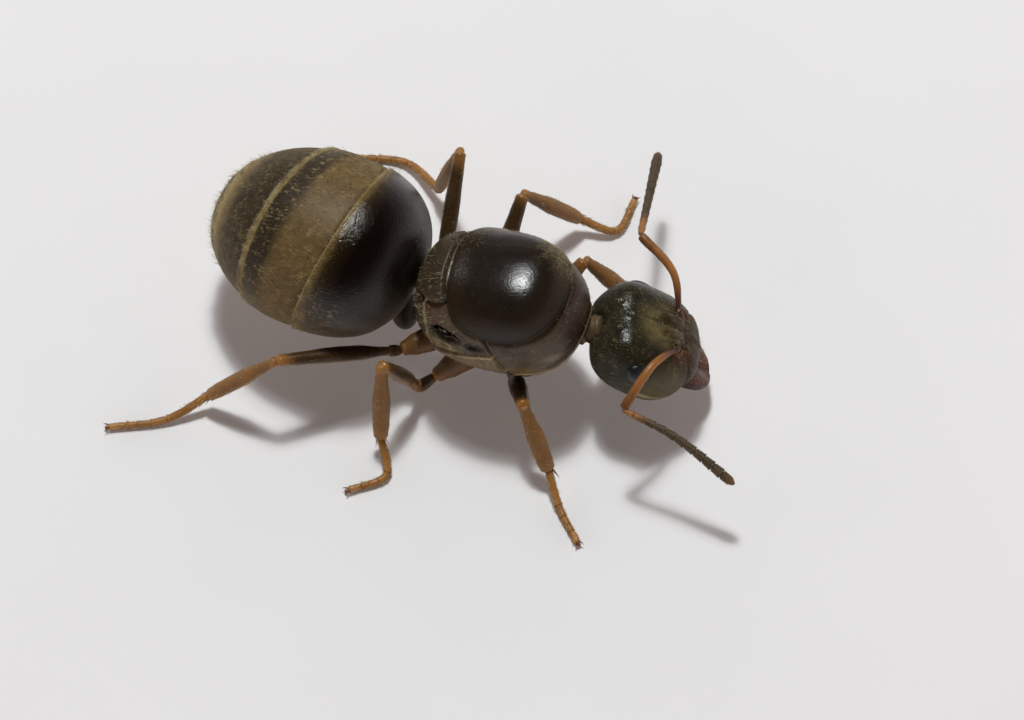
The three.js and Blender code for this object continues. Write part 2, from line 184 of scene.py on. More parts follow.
def turning(yaw=0.0, pitch=0.0, roll=0.0):
    """A turn matrix: roll about X, then pitch about Y, then yaw about Z, in degrees."""
    a, b, c = (math.radians(v) for v in (yaw, pitch, roll))
    about_z = np.array(((math.cos(a), -math.sin(a), 0), (math.sin(a), math.cos(a), 0), (0, 0, 1)))
    about_y = np.array(((math.cos(b), 0, math.sin(b)), (0, 1, 0), (-math.sin(b), 0, math.cos(b))))
    about_x = np.array(((1, 0, 0), (0, math.cos(c), -math.sin(c)), (0, math.sin(c), math.cos(c))))
    return about_z @ about_y @ about_x


def posed(points, pose):
    """Points of a body's own frame, set at its place in the ant."""
    return points @ turning(pose["yaw"], pose["pitch"], pose["roll"]).T + np.array(pose["centre"])


def sided(place, side):
    """A place given on the left, on the side asked for."""
    return np.array(place, float) * (1, side, 1)


def step(start, length, heading, rise, side):
    """The end of a limb segment that leaves start at a heading and a rise, in degrees."""
    flat = length * math.cos(math.radians(rise))
    away = math.radians(heading)
    offset = (flat * math.cos(away), side * flat * math.sin(away), length * math.sin(math.radians(rise)))
    return np.array(start, float) + np.array(offset)


# ---------- rounded bodies ----------
def radii(spec, points):
    """The reach of a rounded body towards each point's side of it."""
    along = np.where(points[..., 0] > 0, spec["front"], spec["back"])
    across = np.full(along.shape, spec["side"])
    upright = np.where(points[..., 2] > 0, spec["up"], spec["down"])
    return stacked(along, across, upright)


def p_norm(points, power):
    """Length by a power: 2 for round bodies, more for boxy ones."""
    return (np.abs(points) ** power).sum(axis=-1) ** (1 / power)


def ovoid_gap(spec, points):
    """Signed distance from points to a rounded body, close to its surface: negative inside it."""
    offset = points - np.array(spec["centre"])
    share = p_norm(offset / radii(spec, offset), spec["power"])
    return np.linalg.norm(offset, axis=-1) * (1 - 1 / np.maximum(share, 1e-6))


def ovoid_shell(spec, directions, grow=0.0):
    """Where rays from the middle of a rounded body leave it."""
    reach = radii(spec, directions) + grow
    share = p_norm(directions / reach, spec["power"])
    return np.array(spec["centre"]) + directions / share[..., None]


def seam_side(seam, points):
    """Signed distance to a leaning seam across the body: positive ahead of it."""
    lean = math.radians(seam["lean"])
    return (points[..., 0] - seam["x"]) * math.sin(lean) - (points[..., 2] - seam["z"]) * math.cos(lean)


def crossing(value_at, low, high, rounds=40):
    """Where a value that starts positive turns negative, for a whole array of searches at once."""
    for _ in range(rounds):
        middle = (low + high) / 2
        ahead = value_at(middle) > 0
        low = np.where(ahead, middle, low)
        high = np.where(ahead, high, middle)
    return (low + high) / 2


# ---------- skins: closed surfaces made of rings ----------
TINY = 1e-9  # rings whose normals are shorter than this take their neighbour's


def ring_normals(rings):
    """The outward way at each point of a skin's rings."""
    along = np.gradient(rings, axis=0)
    around = np.roll(rings, -1, axis=1) - np.roll(rings, 1, axis=1)
    normals = np.cross(along, around)
    weak = np.linalg.norm(normals, axis=-1).max(axis=1) < TINY
    normals = unit(normals)
    for row in np.nonzero(weak)[0]:
        nearest = min(np.nonzero(~weak)[0], key=lambda other: abs(other - row))
        normals[row] = unit(normals[nearest].mean(axis=0))
    return normals


class Skin:
    """Rings of points from a body's front to its back, closed at both ends. along is each ring's
    share of the way, which the materials read as U; V runs round the ring."""

    def __init__(self, rings, along=None, lift=None):
        if lift is not None:
            rings = rings + ring_normals(rings) * lift[..., None]
        self.rings = rings
        self.along = np.linspace(0, 1, len(rings)) if along is None else along
        self.normals = ring_normals(rings)

    def posed(self, pose):
        return Skin(posed(self.rings, pose), self.along)

    def grid(self):
        """Points, quads, triangles and the UV of each of their corners."""
        rows, spokes = self.rings.shape[:2]
        ends = np.stack((self.rings[0].mean(axis=0), self.rings[-1].mean(axis=0)))
        points = np.concatenate((self.rings.reshape(-1, 3), ends))
        row, spoke = np.meshgrid(np.arange(rows - 1), np.arange(spokes), indexing="ij")
        ahead = (spoke + 1) % spokes
        corners = ((row, spoke), (row + 1, spoke), (row + 1, ahead), (row, ahead))
        quads = np.stack([r * spokes + s for r, s in corners], axis=-1).reshape(-1, 4)
        turns = (spoke, spoke, spoke + 1, spoke + 1)
        quad_uv = [stacked(self.along[r], t / spokes) for (r, _), t in zip(corners, turns)]
        quad_uv = np.stack(quad_uv, axis=2).reshape(-1, 4, 2)
        here = np.arange(spokes)
        after = (here + 1) % spokes
        first = np.full(spokes, rows * spokes)
        base = (rows - 1) * spokes
        fans = (stacked(first, here, after), stacked(base + here, first + 1, base + after))
        fan_uv = []
        for share in (self.along[0], self.along[-1]):
            one = stacked(np.full(spokes, share), here / spokes)
            two = stacked(np.full(spokes, share), (here + 1) / spokes)
            middle = (one + two) / 2
            fan_uv.append(np.stack((middle, one, two) if not fan_uv else (one, middle, two), axis=1))
        return points, quads, np.concatenate(fans), quad_uv, np.concatenate(fan_uv)

    def roots(self, count, rng, density=None, rows=(0.0, 1.0)):
        """Random places on the skin for hairs: point, normal, direction along the body and UV."""
        a, b, c = self.rings[:-1], self.rings[1:], np.roll(self.rings, -1, axis=1)[:-1]
        area = np.linalg.norm(np.cross(b - a, c - a), axis=-1)
        total, spokes = area.shape
        row_share = np.arange(total) / total
        area = area * ((row_share >= rows[0]) & (row_share <= rows[1]))[:, None]
        if density is not None:
            area = area * density((a + b + c) / 3, self.along[:-1, None] + 0 * area)
        sums = np.cumsum(area.ravel())
        if sums[-1] <= 0:
            return None
        cell = np.searchsorted(sums, rng.random(count) * sums[-1])
        row, spoke = np.divmod(np.minimum(cell, area.size - 1), spokes)
        down, round_by = rng.random(count), rng.random(count)

        def blended(grid):
            after = (spoke + 1) % spokes
            near = grid[row, spoke] * (1 - round_by)[:, None] + grid[row, after] * round_by[:, None]
            far = grid[row + 1, spoke] * (1 - round_by)[:, None] + grid[row + 1, after] * round_by[:, None]
            return near * (1 - down)[:, None] + far * down[:, None]

        lie = unit(blended(np.gradient(self.rings, axis=0)))
        place = stacked((row + down) / total, (spoke + round_by) / spokes)
        return dict(point=blended(self.rings), normal=unit(blended(self.normals)), lie=lie, uv=place)


def swept(points, profile, girth=1.0, rings=60, spokes=24, flat=1.0, cap=0.7):
    """A limb: a round body with domed ends along a curve. profile is a list of (share, radius), and
    girth multiplies its radii."""
    radius = [(share, size * girth) for share, size in profile]
    line = smooth_path(np.array(points, float), 400)
    run = run_along(line)
    length = run[-1]
    start, end = radius[0][1] * cap, radius[-1][1] * cap
    dome = np.linspace(0.15, math.pi / 2, 7)
    inner = np.linspace(start, length - end, rings)[1:-1]
    places = np.concatenate((start * (1 - np.cos(dome)), inner, (length - end * (1 - np.cos(dome)))[::-1]))
    rounding = np.concatenate((np.sin(dome), np.ones(rings - 2), np.sin(dome)[::-1]))
    middle = points_at(places, run, line)
    tangent = unit(points_at(places, run, np.gradient(line, run, axis=0)))
    across = unit(stacked(-tangent[:, 1], tangent[:, 0], 0 * places))
    upward = np.cross(tangent, across)
    size = through(places / length, radius) * rounding
    angle = spoke_angles(spokes)
    wide, tall = np.cos(angle), -np.sin(angle) * flat
    outward = across[:, None] * wide[None, :, None] + upward[:, None] * tall[None, :, None]
    return Skin(middle[:, None] + size[:, None, None] * outward, places / length)


def smooth_path(points, count):
    """A centripetal curve through the points, sampled evenly enough."""
    if len(points) == 2:
        return points[0] + np.linspace(0, 1, count)[:, None] * (points[1] - points[0])
    padded = np.concatenate(([2 * points[0] - points[1]], points, [2 * points[-1] - points[-2]]))
    knots = np.concatenate(((0,), np.cumsum(np.linalg.norm(np.diff(padded, axis=0), axis=1) ** 0.5)))
    line = []
    for index in range(1, len(padded) - 2):
        p, t = padded[index - 1:index + 3], knots[index - 1:index + 3]
        last = index == len(padded) - 3
        here = np.linspace(t[1], t[2], count // (len(points) - 1), endpoint=last)[:, None]
        a = [(p[k] * (t[k + 1] - here) + p[k + 1] * (here - t[k])) / (t[k + 1] - t[k]) for k in range(3)]
        b = [(a[k] * (t[k + 2] - here) + a[k + 1] * (here - t[k])) / (t[k + 2] - t[k]) for k in range(2)]
        line.append((b[0] * (t[2] - here) + b[1] * (here - t[1])) / (t[2] - t[1]))
    return np.concatenate(line)


def button(centre, axis, width, height, thickness, rings=14, spokes=28, turn=0.0):
    """A small rounded lens facing along axis, for sclerites and simple eyes."""
    axis = unit(np.array(axis, float))
    aside = unit(np.cross((0.0, 0.0, 1.0), axis) if abs(axis[2]) < 0.95 else np.array((0.0, 1.0, 0.0)))
    upright = np.cross(axis, aside)
    polar = pole_to_pole(rings, 0.06)
    angle = spoke_angles(spokes)[None] + math.radians(turn)
    wide, tall = np.sin(polar) * np.cos(angle) * width / 2, np.sin(polar) * np.sin(angle) * height / 2
    c, s = math.cos(math.radians(turn)), math.sin(math.radians(turn))
    wide, tall = wide * c - tall * s, wide * s + tall * c
    deep = np.cos(polar) * thickness / 2 + 0 * angle
    points = wide[..., None] * aside + tall[..., None] * upright + deep[..., None] * axis
    return Skin(points + np.array(centre, float))


# ---------- making pieces ----------
def add_object(name, data):
    """An object in the scene."""
    made = bpy.data.objects.new(name, data)
    bpy.context.scene.collection.objects.link(made)
    return made


def add_piece(name, grids, finish, stands_for=(), unwrap="Skin"):
    """One mesh object from grids of (points, quads, triangles, quad UV, triangle UV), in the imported
    frame. It rides on the ant's one body and stands for the solid nodes named."""
    counts = np.cumsum([0] + [len(grid[0]) for grid in grids])
    points = (np.concatenate([grid[0] for grid in grids]) + SHIFT) * MM
    quads = np.concatenate([grid[1] + first for grid, first in zip(grids, counts)])
    fans = np.concatenate([grid[2] + first for grid, first in zip(grids, counts)])
    corner_uv = np.concatenate([grid[kind].reshape(-1, 2) for kind in (3, 4) for grid in grids])
    corners = np.concatenate((quads.ravel(), fans.ravel()))
    starts = np.concatenate((np.arange(len(quads)) * 4, len(quads) * 4 + np.arange(len(fans)) * 3))
    mesh = bpy.data.meshes.new(name)
    mesh.vertices.add(len(points))
    mesh.vertices.foreach_set("co", points.ravel())
    mesh.loops.add(len(corners))
    mesh.loops.foreach_set("vertex_index", corners)
    mesh.polygons.add(len(starts))
    mesh.polygons.foreach_set("loop_start", starts)
    mesh.update(calc_edges=True)
    mesh.polygons.foreach_set("use_smooth", np.ones(len(starts), bool))
    layer = mesh.uv_layers.new(name=unwrap)
    layer.data.foreach_set("uv", corner_uv.ravel())
    mesh.materials.append(finish)
    piece = add_object(name, mesh)
    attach(piece, "root")
    if stands_for:
        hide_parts(*stands_for)


def add_skins(name, skins, finish, stands_for=()):
    """One piece made of whole skins."""
    add_piece(name, [skin.grid() for skin in skins], finish, stands_for)


# ---------- hairs ----------
PATCH = 0.0015  # half the size of a hair's patch on its skin's unwrap
TILE_EDGE = 0.02  # what each tile of a coat's unwrap leaves free at its borders
ROOT_DEPTH = 0.4  # how deep a hair stands in its skin, against its thickness
SPINE_CORNERS = ((-0.5, -0.29), (0.5, -0.29), (0.0, 0.58))  # a hair's section at its root
MIDDLE_SIZE = 0.72  # its thickness where it arches, against that at its root
FLOOR_GAP = 0.004


def varied(rng, count, spread, low, high):
    """Random factors about 1, as a column."""
    return np.clip(rng.normal(1, spread, count), low, high)[:, None]


class Coat:
    """Hairs of one kind, gathered from several skins and joined in one mesh. Each skin has its own
    tile of the coat's unwrap, and each hair a small patch of that tile at its root. amount is the
    share of the hairs asked for that are grown."""

    def __init__(self, rng, tiles, amount):
        self.rng = rng
        self.amount = amount
        self.across = math.ceil(math.sqrt(tiles))
        self.used = 0
        self.grids = []

    def grow(self, skin, count, length, width, lift, spread, bend=0, density=None, rows=(0.0, 1.0),
             share_tile=False, comb=None):
        """Hairs on a skin. lift is the angle off the skin and bend how much they arch back to it, in
        degrees; spread turns them about the lie of the coat; comb(points) pulls that lie aside."""
        rng = self.rng
        count = int(count * self.amount)
        found = skin.roots(count, rng, density, rows)
        self.used += 0 if share_tile else 1
        if found is None:
            return
        tile = np.array(divmod(self.used - 1, self.across), float)
        normal, lie = found["normal"], found["lie"]
        if comb is not None:
            lie = lie + comb(found["point"])
        lie = unit(lie - normal * (lie * normal).sum(axis=-1, keepdims=True))
        aside = np.cross(normal, lie)
        turn = np.radians(rng.normal(0, spread, count))[:, None]
        lie, aside = lie * np.cos(turn) + aside * np.sin(turn), aside * np.cos(turn) - lie * np.sin(turn)
        raised = np.radians(np.clip(rng.normal(lift, 0.25 * lift + 3, count), 2, 88))[:, None]
        sizes = length * varied(rng, count, 0.3, 0.4, 1.9)
        thick = width * varied(rng, count, 0.15, 0.6, 1.4)
        way = lie * np.cos(raised) + normal * np.sin(raised)
        root = found["point"] - normal * thick * ROOT_DEPTH
        place = (found["uv"] * (1 - 2 * TILE_EDGE) + TILE_EDGE + tile) / self.across
        if bend:
            later = raised - math.radians(bend)
            middle = root + way * sizes * 0.5
            tip = middle + (lie * np.cos(later) + normal * np.sin(later)) * sizes * 0.5
            self.grids.append(spines(root, (middle,), tip, aside, way, thick, place))
        else:
            self.grids.append(spines(root, (), root + way * sizes, aside, way, thick, place))

    def make(self, name, finish, slot):
        add_piece(name, self.grids, finish, unwrap="OFBake")


def over_floor(points):
    """The points, kept a little over the floor."""
    return np.concatenate((points[..., :2], np.maximum(points[..., 2:], FLOOR_GAP)), axis=-1)


def spines(root, middles, tip, aside, way, thick, place):
    """Three-sided spines from root to tip, closed at the root."""
    upright = np.cross(way, aside)
    levels = [(root, 1.0)] + [(middle, MIDDLE_SIZE) for middle in middles]
    offsets = [(aside * a + upright * b) * thick for a, b in SPINE_CORNERS]
    rings = [at + offset * size for at, size in levels for offset in offsets]
    points = over_floor(np.stack(rings + [tip], axis=1))
    last = len(rings)
    triangles = [(0, 2, 1)]
    for level in range(len(middles)):
        for k in range(3):
            low, next_low = 3 * level + k, 3 * level + (k + 1) % 3
            triangles += [(low, next_low, next_low + 3), (low, next_low + 3, low + 3)]
    triangles += [(last - 3 + k, last - 3 + (k + 1) % 3, last) for k in range(3)]
    triangles = np.array(triangles)
    firsts = points.shape[1] * np.arange(len(tip))
    faces = (triangles[None] + firsts[:, None, None]).reshape(-1, 3)
    spots = np.array([(-PATCH, -PATCH), (PATCH, -PATCH), (0.0, 0.0)])
    spots = [spots + (0, PATCH * 0.3 * level) for level in range(len(levels))]
    spots = np.concatenate(spots + [[(0.0, PATCH)]])
    uv = (place[:, None] + spots[None])[:, triangles]
    no_quads, no_quad_uv = np.zeros((0, 4), int), np.zeros((0, 4, 2))
    return points.reshape(-1, 3), no_quads, faces, no_quad_uv, uv.reshape(-1, 3, 2)


# ---------- materials ----------
def colour(code):
    """A colour as shown on screen, such as "4a3d25", in the linear values that Blender works in."""
    shown = [int(code[k:k + 2], 16) / 255 for k in (0, 2, 4)]
    return tuple(v / 12.92 if v <= 0.04045 else ((v + 0.055) / 1.055) ** 2.4 for v in shown) + (1.0,)


class Nodes:
    """Adds nodes to one tree. Inputs are plain values or other nodes' outputs, by name or number."""

    def __init__(self, tree):
        self.tree = tree

    def fill(self, node, inputs):
        for key, value in inputs.items():
            if isinstance(value, bpy.types.NodeSocket):
                self.tree.links.new(value, node.inputs[key])
            else:
                node.inputs[key].default_value = value
        return node

    def add(self, kind, inputs=None, **settings):
        node = self.tree.nodes.new("ShaderNode" + kind)
        for key, value in settings.items():
            setattr(node, key, value)
        return self.fill(node, inputs or {})

    def group(self, tree, **inputs):
        node = self.tree.nodes.new("ShaderNodeGroup")
        node.node_tree = tree
        return self.fill(node, inputs).outputs

    def maths(self, operation, *values):
        return self.add("Math", dict(enumerate(values)), operation=operation).outputs[0]

    def times(self, first, second):
        return self.maths("MULTIPLY", first, second)

    def split(self, vector):
        return self.add("SeparateXYZ", {0: vector}).outputs

    def joined(self, x, y, z):
        return self.add("CombineXYZ", {0: x, 1: y, 2: z}).outputs[0]

    def rise(self, value, low, high, start=0.0, end=1.0):
        inputs = {0: value, 1: low, 2: high, 3: start, 4: end}
        return self.add("MapRange", inputs, interpolation_type="SMOOTHSTEP").outputs[0]

    def line(self, value, at, width):
        """1 where a value is at a given level, within about width."""
        off = self.maths("ABSOLUTE", self.maths("SUBTRACT", value, at))
        return self.rise(off, width * 0.35, width, 1.0, 0.0)

    def patch(self, place, centre, reach, soft=0.35):
        """1 inside a rounded patch about centre, which reaches so far along each axis, with soft sides."""
        away = self.add("VectorMath", {0: place, 1: centre}, operation="SUBTRACT").outputs[0]
        inverse = tuple(1 / r for r in reach)
        away = self.add("VectorMath", {0: away, 1: inverse}, operation="MULTIPLY").outputs[0]
        share = self.add("VectorMath", {0: away}, operation="LENGTH").outputs["Value"]
        return self.rise(share, 1 - soft, 1 + soft, 1.0, 0.0)

    def blend(self, share, first, second, how="MIX"):
        node = self.add("Mix", {0: share, 6: first, 7: second}, data_type="RGBA", blend_type=how)
        return node.outputs[2]

    def over(self, tone, shade, share, most=None):
        """The tone, with the shade laid over it where share is 1, or most of it if most is given."""
        return self.blend(share if most is None else self.times(share, most), tone, shade)

    def ramp(self, value, stops):
        node = self.add("ValToRGB", {0: value})
        bar = node.color_ramp
        bar.elements[0].position, bar.elements[0].color = stops[0]
        bar.elements[1].position, bar.elements[1].color = stops[-1]
        for position, tone in stops[1:-1]:
            bar.elements.new(position).color = tone
        return node.outputs[0]

    def noise(self, where, scale, detail=2.0, roughness=0.5):
        inputs = {"Vector": where, "Scale": scale, "Detail": detail, "Roughness": roughness}
        return self.add("TexNoise", inputs).outputs[0]


def effect(name, inputs, outputs):
    """An empty node group with named sockets: its tree, a Nodes for it, its inputs and a way to set
    its outputs."""
    tree = bpy.data.node_groups.new(name, "ShaderNodeTree")
    for label, (kind, default) in inputs.items():
        socket = tree.interface.new_socket(label, in_out="INPUT", socket_type="NodeSocket" + kind)
        if default is not None:
            socket.default_value = default
    for label, kind in outputs.items():
        tree.interface.new_socket(label, in_out="OUTPUT", socket_type="NodeSocket" + kind)
    given = tree.nodes.new("NodeGroupInput").outputs
    result = tree.nodes.new("NodeGroupOutput").inputs

    def give(label, socket):
        tree.links.new(socket, result[label])

    return tree, Nodes(tree), given, give


def shell_grain():
    """The fine netted grain of insect shell, with pits at the hair roots and broad mottling."""
    tree, nodes, given, give = effect(
        "Shell grain",
        {"Place": ("Vector", None), "Cells": ("Float", 45.0), "Pits": ("Float", 9.0)},
        {"Height": "Float", "Mottle": "Float", "Pit": "Float"},
    )
    place = given["Place"]
    cells = nodes.add("TexVoronoi", {"Vector": place, "Scale": given["Cells"]}, feature="SMOOTH_F1")
    fine = nodes.noise(place, nodes.times(given["Cells"], 1.7), 3.0)
    waves = nodes.noise(place, 5.0, 3.0)
    pits = nodes.add("TexVoronoi", {"Vector": place, "Scale": given["Pits"]}).outputs["Distance"]
    pit = nodes.rise(pits, 0.05, 0.2, 1.0, 0.0)
    height = nodes.maths("MULTIPLY_ADD", cells.outputs["Distance"], 0.5, nodes.times(fine, 0.6))
    height = nodes.maths("MULTIPLY_ADD", waves, 0.5, height)
    give("Height", nodes.maths("MULTIPLY_ADD", pit, -0.35, height))
    give("Mottle", nodes.rise(nodes.noise(place, 2.2, 5.0, 0.62), 0.3, 0.7))
    give("Pit", pit)
    return tree


def lying_down():
    """Very short flat hairs drawn out along the body: a speckle and its height."""
    tree, nodes, given, give = effect(
        "Lying down",
        {"Place": ("Vector", None), "Hairs": ("Float", 42.0), "Cover": ("Float", 0.5)},
        {"Speckle": "Float", "Height": "Float"},
    )
    drawn = nodes.add("Mapping", {"Vector": given["Place"], "Scale": (0.34, 1.0, 0.8)}).outputs[0]
    ragged = nodes.noise(given["Place"], 6.0, 3.0)
    strands = nodes.noise(drawn, given["Hairs"], 3.0, 0.7)
    level = nodes.maths("MULTIPLY_ADD", ragged, 0.35, nodes.times(strands, 0.65))
    start = nodes.maths("SUBTRACT", 0.68, nodes.times(given["Cover"], 0.3))
    speckle = nodes.rise(level, start, nodes.maths("ADD", start, 0.13))
    give("Speckle", speckle)
    give("Height", strands)
    return tree


def along_limb():
    """Three colours along a limb, with a ragged change between them."""
    tree, nodes, given, give = effect(
        "Along the limb",
        {
            "Share": ("Float", 0.0), "Ragged": ("Float", 0.5),
            "Root": ("Color", None), "Middle": ("Color", None), "Tip": ("Color", None),
            "Root end": ("Float", 0.15), "Tip start": ("Float", 0.85), "Soft": ("Float", 0.08),
        },
        {"Colour": "Color"},
    )
    off = nodes.maths("SUBTRACT", given["Ragged"], 0.5)
    uneven = nodes.maths("MULTIPLY_ADD", off, 0.12, given["Share"])

    def past(end):
        low, high = (nodes.maths(how, given[end], given["Soft"]) for how in ("SUBTRACT", "ADD"))
        return nodes.rise(uneven, low, high)

    first, last = past("Root end"), past("Tip start")
    give("Colour", nodes.blend(last, nodes.blend(first, given["Root"], given["Middle"]), given["Tip"]))
    return tree


EFFECTS = {"grain": shell_grain, "down": lying_down, "limb": along_limb}


def shared(name):
    """The effect's node group, built on first use."""
    made = shared.trees
    if name not in made:
        made[name] = EFFECTS[name]()
    return made[name]


shared.trees = {}


class Finish:
    """A material being made: its nodes, the place in mm, and the skin's U and V."""

    def __init__(self, name, unwrap="Skin"):
        self.material = bpy.data.materials.new(name)
        self.material.use_nodes = True
        self.tree = self.material.node_tree
        self.nodes = Nodes(self.tree)
        self.shader = next(node for node in self.tree.nodes if node.type == "BSDF_PRINCIPLED")
        metres = self.nodes.add("TexCoord").outputs["Object"]
        inputs = {0: metres, "Scale": 1 / MM}
        self.place = self.nodes.add("VectorMath", inputs, operation="SCALE").outputs[0]
        self.along, self.around, _ = self.nodes.split(self.nodes.add("UVMap", uv_map=unwrap).outputs[0])

    def link(self, socket, name):
        self.tree.links.new(socket, self.shader.inputs[name])

    def set(self, **values):
        for key, value in values.items():
            self.shader.inputs[key.replace("_", " ")].default_value = value

    def bump(self, height, depth, strength=1.0):
        """Raises the surface by a height of 0 to 1 times depth, in mm."""
        inputs = {"Height": height, "Distance": depth * MM, "Strength": strength}
        self.link(self.nodes.add("Bump", inputs).outputs[0], "Normal")


# ---------- body skins ----------
COLLAR_RISE = (1.34, 0.95, 2.2)  # the collar's lower margin: its height, then where and how fast it rises
WING_RIDGE = (1.745, 0.42)  # the ridge under the wing root: its height at the middle, and its slope
BELLY_RIDGE = (1.27, -0.25, 0.4)  # the flank's lower ridge: its lowest place and how fast it rises
WING_PIT = ((-0.6, 0.94, 2.0), (0.26, 0.5, 0.12))  # the wing socket and how far it reaches


def collar_margin(points):
    """Height over the collar's lower margin."""
    ahead = np.maximum(0, points[..., 0] - COLLAR_RISE[1])
    return points[..., 2] - COLLAR_RISE[0] - COLLAR_RISE[2] * ahead ** 2


def belly_line(points):
    """Height over the lower edge of the thorax's side plate."""
    return points[..., 2] - BELLY_RIDGE[0] - BELLY_RIDGE[2] * (points[..., 0] - BELLY_RIDGE[1]) ** 2


def wing_line(points):
    """Height over the ridge under the wing root."""
    return points[..., 2] - WING_RIDGE[0] - WING_RIDGE[1] * points[..., 0]


def oval(points, x, z, wide, tall):
    """1 on an oval seen from the side, less inside it."""
    return np.hypot((points[..., 0] - x) / wide, (points[..., 2] - z) / tall)


def trunk_lift(points):
    """How far the side plates of the thorax rise or sink from their smooth body."""
    x, side, z = points[..., 0], np.abs(points[..., 1]), points[..., 2]
    dome = np.minimum(ovoid_gap(SCUTUM, points), ovoid_gap(SCUTELLUM, points))
    collar, rear = seam_side(COLLAR_SEAM, points), seam_side(REAR_SEAM, points)
    lift = -0.12 * smooth(-dome, -0.01, 0.07) - 0.03 * bell(dome - 0.01, 0.035)
    lift = lift - 0.045 * bell(collar, 0.02) - 0.04 * bell(rear, 0.02)
    lift = lift + 0.014 * bell(collar - 0.06, 0.022) + 0.012 * bell(collar + 0.06, 0.03)
    flank = smooth(side, 0.5, 0.75) * smooth(rear, 0.0, 0.08) * (1 - smooth(collar, -0.08, 0.0))
    upper, lower = wing_line(points), belly_line(points)
    lift += flank * (0.03 * bell(upper, 0.028) - 0.035 * bell(upper - 0.075, 0.04))
    lift += flank * (0.026 * within(lower, 0.03, 0.26, 0.06) - 0.03 * bell(lower + 0.02, 0.025))
    lift -= 0.018 * flank * bell(x - 0.02 + 0.35 * (z - 1.6), 0.02) * within(z, 1.2, 1.75, 0.08)
    (pit_x, _, pit_z), (wide, _, tall) = WING_PIT
    pit = oval(points, pit_x, pit_z, wide, tall)
    lift = lift - 0.09 * flank * (1 - smooth(pit, 0.55, 1.15)) + 0.02 * flank * bell(pit - 1.3, 0.2)
    hollow = oval(points, -0.1, 1.95, 0.2, 0.11)
    lift -= 0.07 * flank * (1 - smooth(hollow, 0.5, 1.1))
    behind = 1 - smooth(rear, -0.05, 0.03)
    spiracle = oval(points, -1.1, 1.66, 0.05, 0.08)
    breathing = 0.02 * bell(spiracle - 1, 0.45) - 0.03 * bell(spiracle, 0.6)
    lift += behind * smooth(side, 0.4, 0.6) * breathing
    gland = oval(points, -1.02, 1.12, 0.16, 0.11)
    lift += behind * 0.035 * smooth(side, 0.35, 0.55) * (1 - smooth(gland, 0.4, 1.2))
    lift += 0.028 * bell(rear - 0.07, 0.035) * smooth(z, 1.7, 1.9)
    margin = collar_margin(points)
    neckwards = smooth(collar, 0.03, 0.1)
    lift += neckwards * (0.02 * bell(margin - 0.02, 0.03) - 0.06 * (1 - smooth(margin, -0.05, 0.0)))
    lift -= 0.03 * neckwards * bell(margin - 0.17, 0.03) * smooth(x, 0.85, 1.0)
    return lift - 0.02 * bell(side, 0.03) * (1 - smooth(z, 0.9, 1.1))


@functools.cache
def trunk_skins():
    """The collar (pronotum), flank (mesopleura) and back slope (propodeum), parted at the seams."""
    angle = spoke_angles(256)
    start, end = np.full(len(angle), 0.02), np.full(len(angle), math.pi - 0.02)

    def border(seam):
        return crossing(lambda p: seam_side(seam, ovoid_shell(TRUNK, around_x(p, angle))), start, end)

    ends = (start, border(COLLAR_SEAM), border(REAR_SEAM), end)
    made = []
    for front, back, rings in zip(ends[:-1], ends[1:], (76, 112, 66)):
        share = np.linspace(0, 1, rings)
        share = 0.55 * share + 0.45 * (0.5 - 0.5 * np.cos(math.pi * share))
        polar = front + (back - front) * share[:, None]
        base = ovoid_shell(TRUNK, around_x(polar, angle[None]))
        made.append(Skin(base, share, trunk_lift(base)))
    return made


def domed_plate(region, towards, lift_at, rings, spokes):
    """A plate over the top of the trunk: rings from its middle to its border, then tucked under."""
    centre = np.array(TRUNK["centre"], float)
    axis = unit(np.array(towards, float) - centre)
    across = unit(np.cross(axis, np.cross((1.0, 0.0, 0.0), axis)))
    third = np.cross(axis, across)
    angle = spoke_angles(spokes)

    def over(tilt):
        fan = across * np.cos(angle)[:, None] + third * np.sin(angle)[:, None]
        return ovoid_shell(TRUNK, axis * np.cos(tilt)[..., None] + fan * np.sin(tilt)[..., None], DOME_LIFT)

    low, high = np.full(spokes, 0.01), np.full(spokes, 2.2)
    edge = crossing(lambda tilt: -ovoid_gap(region, over(tilt)), low, high)
    share = np.sin(np.linspace(0.01, 1, rings) * math.pi / 2)
    base = over(edge[None] * share[:, None])
    skin = Skin(base, share, lift_at(base))
    under = [skin.rings[-1] + (centre - skin.rings[-1]) * part for part in DOME_TUCK]
    return Skin(np.concatenate((skin.rings, under)), np.concatenate((share, np.ones(len(DOME_TUCK)))))


def scutum_lift(points):
    """How far the scutum rises over the trunk: a sunk rim, and a dome that is highest ahead."""
    inside = -ovoid_gap(SCUTUM, points)
    x, side = points[..., 0], np.abs(points[..., 1])
    lift = -0.06 * (1 - smooth(inside, -0.01, 0.06)) + 0.006 * bell(inside - 0.05, 0.02)
    lift -= 0.002 * bell(side - 0.5 - 0.08 * x, 0.04) * within(x, -0.6, 0.1, 0.2)
    lift += 0.12 * (x - 0.3) * smooth(inside, 0.0, 0.75)
    return lift + 0.08 * (1 - (x - 0.45) ** 2) * smooth(inside, 0.0, 0.6)


def scutellum_lift(points):
    """The scutellum's sunk rim, and a step down where it meets the scutum."""
    inside, ahead = -ovoid_gap(SCUTELLUM, points), ovoid_gap(SCUTUM, points)
    side = np.abs(points[..., 1])
    lift = -0.06 * (1 - smooth(inside, -0.01, 0.07)) + 0.014 * bell(inside - 0.055, 0.018)
    lift = lift - 0.1 * (1 - smooth(ahead, -0.03, 0.06)) + 0.004 * bell(ahead - 0.09, 0.025)
    return lift - 0.016 * bell(side - 0.36 - 0.5 * ahead, 0.02) * (1 - smooth(ahead, 0.1, 0.2))


